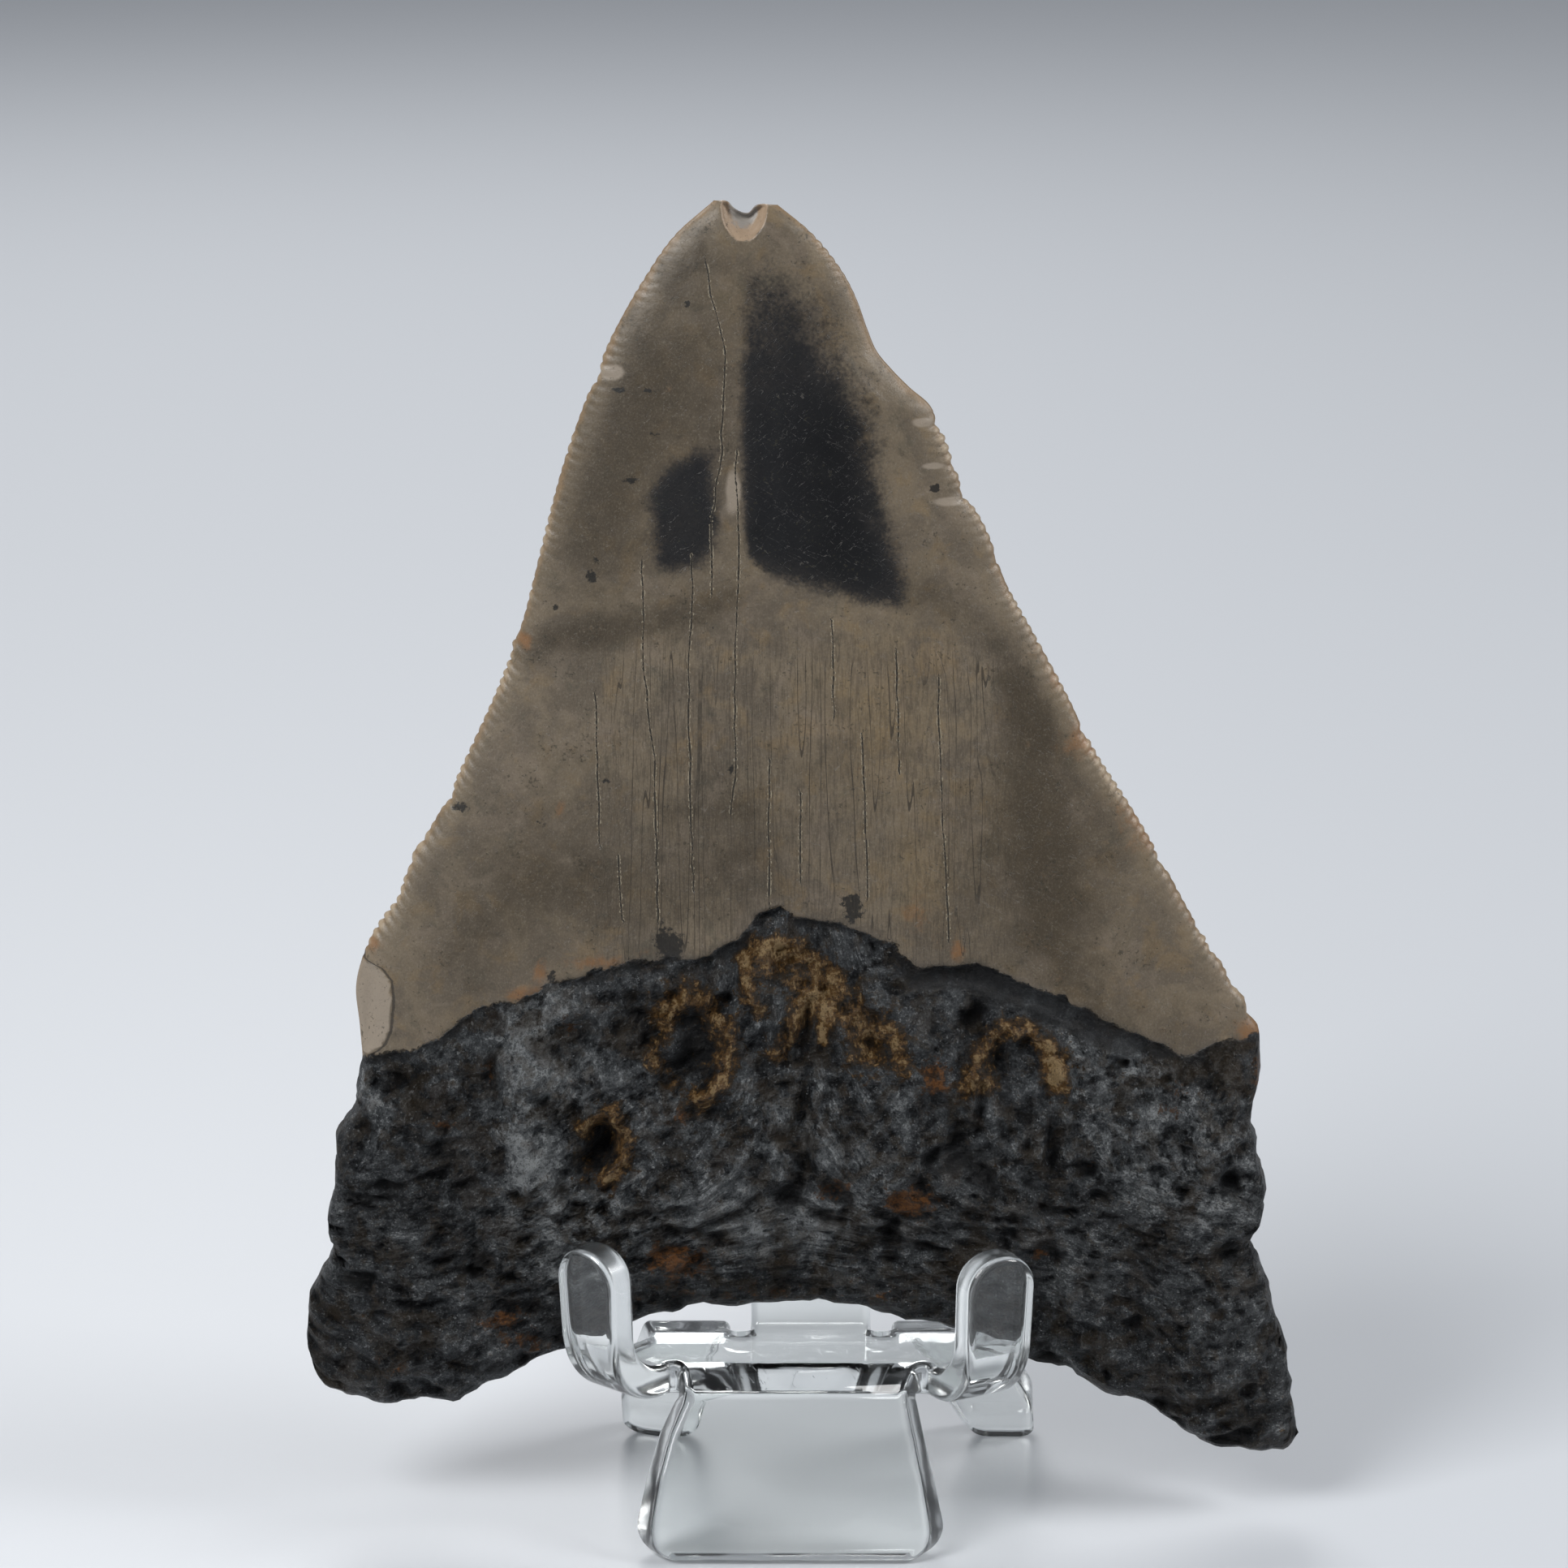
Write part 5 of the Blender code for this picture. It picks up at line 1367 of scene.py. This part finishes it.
def near_arm_corner(flat):
    """1 on the cut faces inside the arms' bends and 0 elsewhere: close to an arm's front edge, and from
    0.5 to 8.5 mm along it."""
    total = np.zeros(len(flat))
    for corner, out, across in (LEFT_ARM, RIGHT_ARM):
        run, off = (flat - corner) @ out, (flat - corner) @ across
        near_edge = np.abs(off + EDGE_ROUND * 0.5) < 0.6 + EDGE_ROUND * 0.5
        total += ease((run - 0.5) / 1.0) * ease((8.5 - run) / 1.0) * near_edge
    return total


cut_line = fill_in(round_corners(CUT_OUTLINE), LONGEST_STEP)
cut_line = fill_in(cut_line, np.where(near_arm_corner(cut_line) > 0, FINE_STEP, LONGEST_STEP))
print("cut line of", len(cut_line), "points,", np.round(np.ptp(cut_line, axis=0), 1), "mm when flat")

# %% [markdown]
# ## Bending the sheet
#
# Acrylic that is heated along a line bends in an arc there and stays straight elsewhere. So a point
# past the start of a bend first follows the arc and then goes straight on, and the thickness is laid
# off at right angles to it. A modifier could make one such bend, but five bends in different
# directions on one sheet are clearer as one formula.

# %% Bends
DOWN, UP = np.array([0.0, -1.0]), np.array([0.0, 1.0])
LEG_MIDDLE_X, LEG_TAPER, LEG_TAPER_RUN = 0.9, 0.12, 3.0
LEFT_FOOT_MIDDLE_X, LEFT_FOOT_TWIST, FOOT_TWIST_RUN = -12.0, np.radians(-20.0), 20.0


def on_arm(p, arm):
    """True behind the arm's front edge and on the ripples of that edge."""
    return (p - arm[0]) @ arm[2] < 0.3


BENDS = {   # which points belong, where the bend starts, the way out, the inner radius, the angle up
    "left arm": (lambda p: on_arm(p, LEFT_ARM) & (p[:, 0] < 0) & (p[:, 1] < 5),
                 LEFT_ARM[0] + ARM_BEND_AT * LEFT_ARM[1], LEFT_ARM[1], 4.0, np.radians(88.0)),
    "right arm": (lambda p: on_arm(p, RIGHT_ARM) & (p[:, 0] > 0) & (p[:, 1] < 5),
                  RIGHT_ARM[0] + ARM_BEND_AT * RIGHT_ARM[1], RIGHT_ARM[1], 4.0, np.radians(88.0)),
    "leg": (lambda p: ~on_arm(p, LEFT_ARM) & ~on_arm(p, RIGHT_ARM) & (p[:, 1] < 0),
            np.array([0.0, LEG_BEND_Y]), DOWN, LEG_BEND[0], -LEG_BEND[1]),
    "rest": (lambda p: (p[:, 0] > REST_LEFT_X - 0.1) & (p[:, 0] < REST_RIGHT_X + 0.1),
             np.array([0.0, 5.0]), UP, 2.0, np.radians(59.5)),
    "rear": (lambda p: (p[:, 0] < REST_LEFT_X - 0.1) | (p[:, 0] > REST_RIGHT_X + 0.1),
             np.array([0.0, REAR_BEND_Y]), UP, REAR_BEND[0], -REAR_BEND[1]),
}


print(len(BENDS), "bends in a sheet of", SHEET, "mm")

# %% Bending formula
def bend_sheet(flat, height):
    """Sheet points at a height above its middle, rolled round each bend. The run past the bend's start
    is first an arc, whose turn is the run over the radius, and what is left of the run goes straight
    on. The leg's faces also narrow, and the left rear foot turns."""
    height = np.broadcast_to(height, len(flat))
    middle_z = LEDGE_TOP - 0.5 * SHEET
    bent = np.column_stack([flat, middle_z + height])
    for name, (belongs, start, out, inner, angle) in BENDS.items():
        run = (flat - start) @ out
        inside = belongs(flat) & (run > 0)
        radius, sign = inner + 0.5 * SHEET, np.sign(angle)
        if angle < 0:
            ground = FOOT_LEVEL * ease((run - foot_run(inner, -angle) + 5.0) / 4.0)
            run = run + ground * height / np.tan(-angle)
        turn = np.minimum(run / radius, abs(angle))
        rest = run - turn * radius
        forward = radius * np.sin(turn) + rest * np.cos(turn) - sign * height * np.sin(turn)
        rise = sign * (radius * (1 - np.cos(turn)) + rest * np.sin(turn)) + height * np.cos(turn)
        moved = flat + (forward - (flat - start) @ out)[:, None] * out
        if name == "leg":
            narrow = 1 - LEG_TAPER * (height / SHEET + 0.5) * ease(run / LEG_TAPER_RUN)
            moved[:, 0] = LEG_MIDDLE_X + (moved[:, 0] - LEG_MIDDLE_X) * narrow
        if name == "rear":
            twist = np.where(flat[:, 0] < 0, LEFT_FOOT_TWIST, 0.0) * ease(run / FOOT_TWIST_RUN)
            pivot = np.column_stack([
                np.full(len(flat), LEFT_FOOT_MIDDLE_X),
                start[1] + radius * np.sin(turn) + rest * np.cos(turn),
            ])
            arm = moved - pivot
            moved = pivot + np.column_stack([
                arm[:, 0] * np.cos(twist) - arm[:, 1] * np.sin(twist),
                arm[:, 0] * np.sin(twist) + arm[:, 1] * np.cos(twist),
            ])
        bent[inside] = np.column_stack([moved, middle_z + rise])[inside]
    return bent


print("the ledge stays at z =", bend_sheet(np.zeros((1, 2)), 0.5 * SHEET)[0, 2], "mm")

# %% [markdown]
# ## The easel, cut and bent
#
# The flat face is a polygon that bmesh cuts across wherever a bend needs a row of points. Its border
# then goes over to the wall in a quarter circle, almost a millimetre in radius, and back in below.
# Real cut edges of acrylic are rounded like this by a flame, and they catch a thin bright line of light.
# The bending formula also gives each point's exact direction outwards, which the mesh keeps as its
# normal, so that light bends evenly through the clear sheet.

# %% Flat net with cuts at the bends
BEND_CUTS = {"left arm": 26, "right arm": 26, "leg": 14, "rest": 18, "rear": 14}


def border_normals(loop):
    """Unit vectors out of a closed, anticlockwise line: the mean of its two steps, turned right."""
    ahead = np.roll(loop, -1, axis=0) - loop
    ahead /= np.linalg.norm(ahead, axis=1)[:, None]
    both_steps = ahead + np.roll(ahead, 1, axis=0)
    both_steps /= np.linalg.norm(both_steps, axis=1)[:, None]
    return np.column_stack([both_steps[:, 1], -both_steps[:, 0]])


inset_line = cut_line - EDGE_ROUND * border_normals(cut_line)
sheet_net = bmesh.new()
sheet_net.faces.new([sheet_net.verts.new((x, y, 0.0)) for x, y in inset_line])
for name, (belongs, start, out, inner, angle) in BENDS.items():
    length = (inner + 0.5 * SHEET) * abs(angle)
    for share in np.linspace(0, 1, BEND_CUTS[name] + 1):
        mine = []
        for face in sheet_net.faces:
            corners = np.array([vert.co.xy for vert in face.verts])
            if np.any(belongs(corners) & ((corners - start) @ out > 0)):
                mine.append(face)
        parts = {part for face in mine for part in [*face.edges, *face.verts]}
        bmesh.ops.bisect_plane(
            sheet_net, geom=mine + list(parts), dist=1e-4, plane_co=(*(start + out * length * share), 0.0),
            plane_no=(*out, 0.0),
        )
bmesh.ops.triangulate(sheet_net, faces=sheet_net.faces)
sheet_net.verts.index_update()
net_places = np.array([vert.co.xy for vert in sheet_net.verts])
net_faces = [tuple(vert.index for vert in face.verts) for face in sheet_net.faces]
next_on_border = {
    loop.vert.index: loop.link_loop_next.vert.index
    for face in sheet_net.faces for loop in face.loops if loop.edge.is_boundary
}
facing_up = sum(face.normal.z > 0 for face in sheet_net.faces)
sheet_net.free()
border = [next(iter(next_on_border))]
while next_on_border[border[-1]] != border[0]:
    border.append(next_on_border[border[-1]])
print(len(net_faces), "flat faces,", facing_up, "facing up,", len(border), "points on the border")

# %% Directions outwards on the bent sheet
def bent_normals(flat, height, sideways, lift):
    """Directions outwards: the flat direction (sideways, lift) carried through the bend. Each of its
    two parts is the difference of two bent points a hundredth of a millimetre apart."""
    nudge = 0.005
    across = bend_sheet(flat + nudge * sideways, height) - bend_sheet(flat - nudge * sideways, height)
    upward = bend_sheet(flat, height + nudge) - bend_sheet(flat, height - nudge)
    across /= np.linalg.norm(across, axis=1)[:, None] + 1e-12
    upward /= np.linalg.norm(upward, axis=1)[:, None]
    size = np.linalg.norm(sideways, axis=1)[:, None]
    total = across * size * np.sqrt(1 - lift**2) + upward * lift
    return total / np.linalg.norm(total, axis=1)[:, None]


ledge_middle = np.zeros((1, 2))
print("outwards on the ledge is", bent_normals(ledge_middle, 0.5 * SHEET, ledge_middle, 1.0)[0].round(3))

# %% Rings from the upper face round to the lower
EDGE_WAVE = 0.04
SAW_MARK, SAW_MARK_PITCH = 0.05, 0.75
count, border_count = len(net_places), len(border)
border_flat = net_places[border]
border_out = border_normals(border_flat)
border_x, border_y = border_flat.T
wave = EDGE_WAVE * (cloud(border_x + border_y, border_y - border_x, 2.6, 91) - 1)
along_border = np.concatenate([[0.0], np.cumsum(np.linalg.norm(np.diff(border_flat, axis=0), axis=1))])
wave += SAW_MARK * near_arm_corner(border_flat) * np.sin(2 * np.pi * along_border / SAW_MARK_PITCH)
half = 0.5 * SHEET
quarter = np.linspace(15, 90, 6)
tilt = np.radians(np.concatenate([quarter, quarter[::-1]]))
side_of = np.repeat([1, -1], len(quarter))
pieces_flat, pieces_height, pieces_normal = [net_places], [np.full(count, half)], []
still = np.zeros_like(net_places)
pieces_normal.append(bent_normals(net_places, np.full(count, half), still, 1.0))
for angle, side in zip(tilt, side_of):
    ring_flat = border_flat + border_out * (EDGE_ROUND * np.sin(angle) + wave * np.sin(angle) ** 2)[:, None]
    ring_height = np.full(border_count, side * (half - EDGE_ROUND * (1 - np.cos(angle))))
    pieces_flat.append(ring_flat)
    pieces_height.append(ring_height)
    pieces_normal.append(bent_normals(ring_flat, ring_height, border_out, side * np.cos(angle)))
pieces_flat.append(net_places)
pieces_height.append(np.full(count, -half))
pieces_normal.append(bent_normals(net_places, np.full(count, -half), still, -1.0))
skin_points = bend_sheet(np.vstack(pieces_flat), np.concatenate(pieces_height))
skin_normals = np.vstack(pieces_normal)
print(len(skin_points), "points, the lowest at", round(float(skin_points[:, 2].min()), 3), "mm")

# %% Faces of the skin
bottom_first = count + len(tilt) * border_count
rings = [np.array(border)] + [count + k * border_count + np.arange(border_count) for k in range(len(tilt))]
rings.append(bottom_first + np.array(border))
walls = [
    np.column_stack([upper, lower, np.roll(lower, -1), np.roll(upper, -1)])
    for upper, lower in zip(rings[:-1], rings[1:])
]
skin_faces = net_faces + [tuple(bottom_first + number for number in face[::-1]) for face in net_faces]
skin_faces += [tuple(face) for face in np.vstack(walls).tolist()]
print(len(skin_faces), "faces round the sheet")

# %% Mesh of the easel
acrylic_tree, acrylic_shader, acrylic = new_material("clear_acrylic_sheet_flame_polished")
easel = add_mesh("acrylic_easel", (skin_points + FRAME_SHIFT) * MM, skin_faces, acrylic)
easel.data.normals_split_custom_set_from_vertices(skin_normals.tolist())
on_cut = np.zeros(len(skin_points), np.float32)
on_cut[count:bottom_first] = np.repeat(np.sin(tilt), border_count)
easel.data.attributes.new("on_cut", "FLOAT", "POINT").data.foreach_set("value", on_cut)
print("easel has", len(easel.data.polygons), "faces")

# %% [markdown]
# ## Clear acrylic
#
# Acrylic lets nearly all light through and bends it by an index of 1.49. It is told from glass by its
# soft scratches and by the faint haze of fingers and dust. Only the fine scratches and a little
# waviness come from nodes, and the rest are the shader's own values.

# %% Acrylic: the shader's own values, and haze
ACRYLIC_IOR = 1.49
SMUDGE_SIZE = 6 * MM
CUT_HAZE = 0.14
acrylic_shader.inputs["Base Color"].default_value = colour("#f7faf9")
acrylic_shader.inputs["Transmission Weight"].default_value = 1.0
acrylic_shader.inputs["IOR"].default_value = ACRYLIC_IOR
easel_place = add_node(acrylic_tree, "ShaderNodeTexCoord", {}).outputs["Object"]
smudge = add_node(
    acrylic_tree, "ShaderNodeTexNoise", {"Scale": 1 / SMUDGE_SIZE, "Detail": 3.0}, {"Vector": easel_place}
)
face_haze = add_node(
    acrylic_tree, "ShaderNodeMapRange",
    {"From Min": 0.35, "From Max": 0.75, "To Min": 0.02, "To Max": 0.07}, {"Value": smudge},
)
cut_share = add_node(acrylic_tree, "ShaderNodeAttribute", {"attribute_name": "on_cut"}).outputs["Fac"]
haze = add_node(
    acrylic_tree, "ShaderNodeMath", {"operation": "MULTIPLY_ADD", 1: CUT_HAZE}, {0: cut_share, 2: face_haze}
)
acrylic_tree.links.new(haze.outputs[0], acrylic_shader.inputs["Roughness"])
print("acrylic bends light by", ACRYLIC_IOR)

# %% Acrylic: scratches and waves
SCRATCH_SIZE = (0.25 * MM, 6 * MM, 0.25 * MM)
WAVE_SIZE = 3 * MM
WAVE_DEPTH = 0.03 * MM
scratch_place = add_node(
    acrylic_tree, "ShaderNodeMapping",
    {"vector_type": "TEXTURE", "Rotation": (0.3, 0.2, 0.6), "Scale": SCRATCH_SIZE}, {"Vector": easel_place},
)
scratches = add_node(
    acrylic_tree, "ShaderNodeTexNoise", {"Scale": 1.0, "Detail": 1.0}, {"Vector": scratch_place}
)
scratch_lines = add_node(
    acrylic_tree, "ShaderNodeMapRange",
    {"From Min": 0.30, "From Max": 0.24, "To Min": 0.0, "To Max": 1.0}, {"Value": scratches},
)
soft_waves = add_node(
    acrylic_tree, "ShaderNodeTexNoise", {"Scale": 1 / WAVE_SIZE, "Detail": 1.0}, {"Vector": easel_place}
)
acrylic_height = add_node(
    acrylic_tree, "ShaderNodeMath", {"operation": "MULTIPLY_ADD", 1: -0.1}, {0: scratch_lines, 2: soft_waves}
)
acrylic_bump = add_node(
    acrylic_tree, "ShaderNodeBump", {"Strength": 1.0, "Distance": WAVE_DEPTH}, {"Height": acrylic_height}
)
acrylic_tree.links.new(acrylic_bump.outputs["Normal"], acrylic_shader.inputs["Normal"])
print(len(acrylic_tree.nodes), "nodes in the acrylic's material")

# %% [markdown]
# ## Into the frame
#
# Each piece takes the place of its CAD solid and rides on the one body there is.

# %% Ride and replace
for piece, node, slot in ((tooth, "tooth", "fossil_tooth"), (easel, "display_stand", "clear_acrylic")):
    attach(piece, "root")
    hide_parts(node)
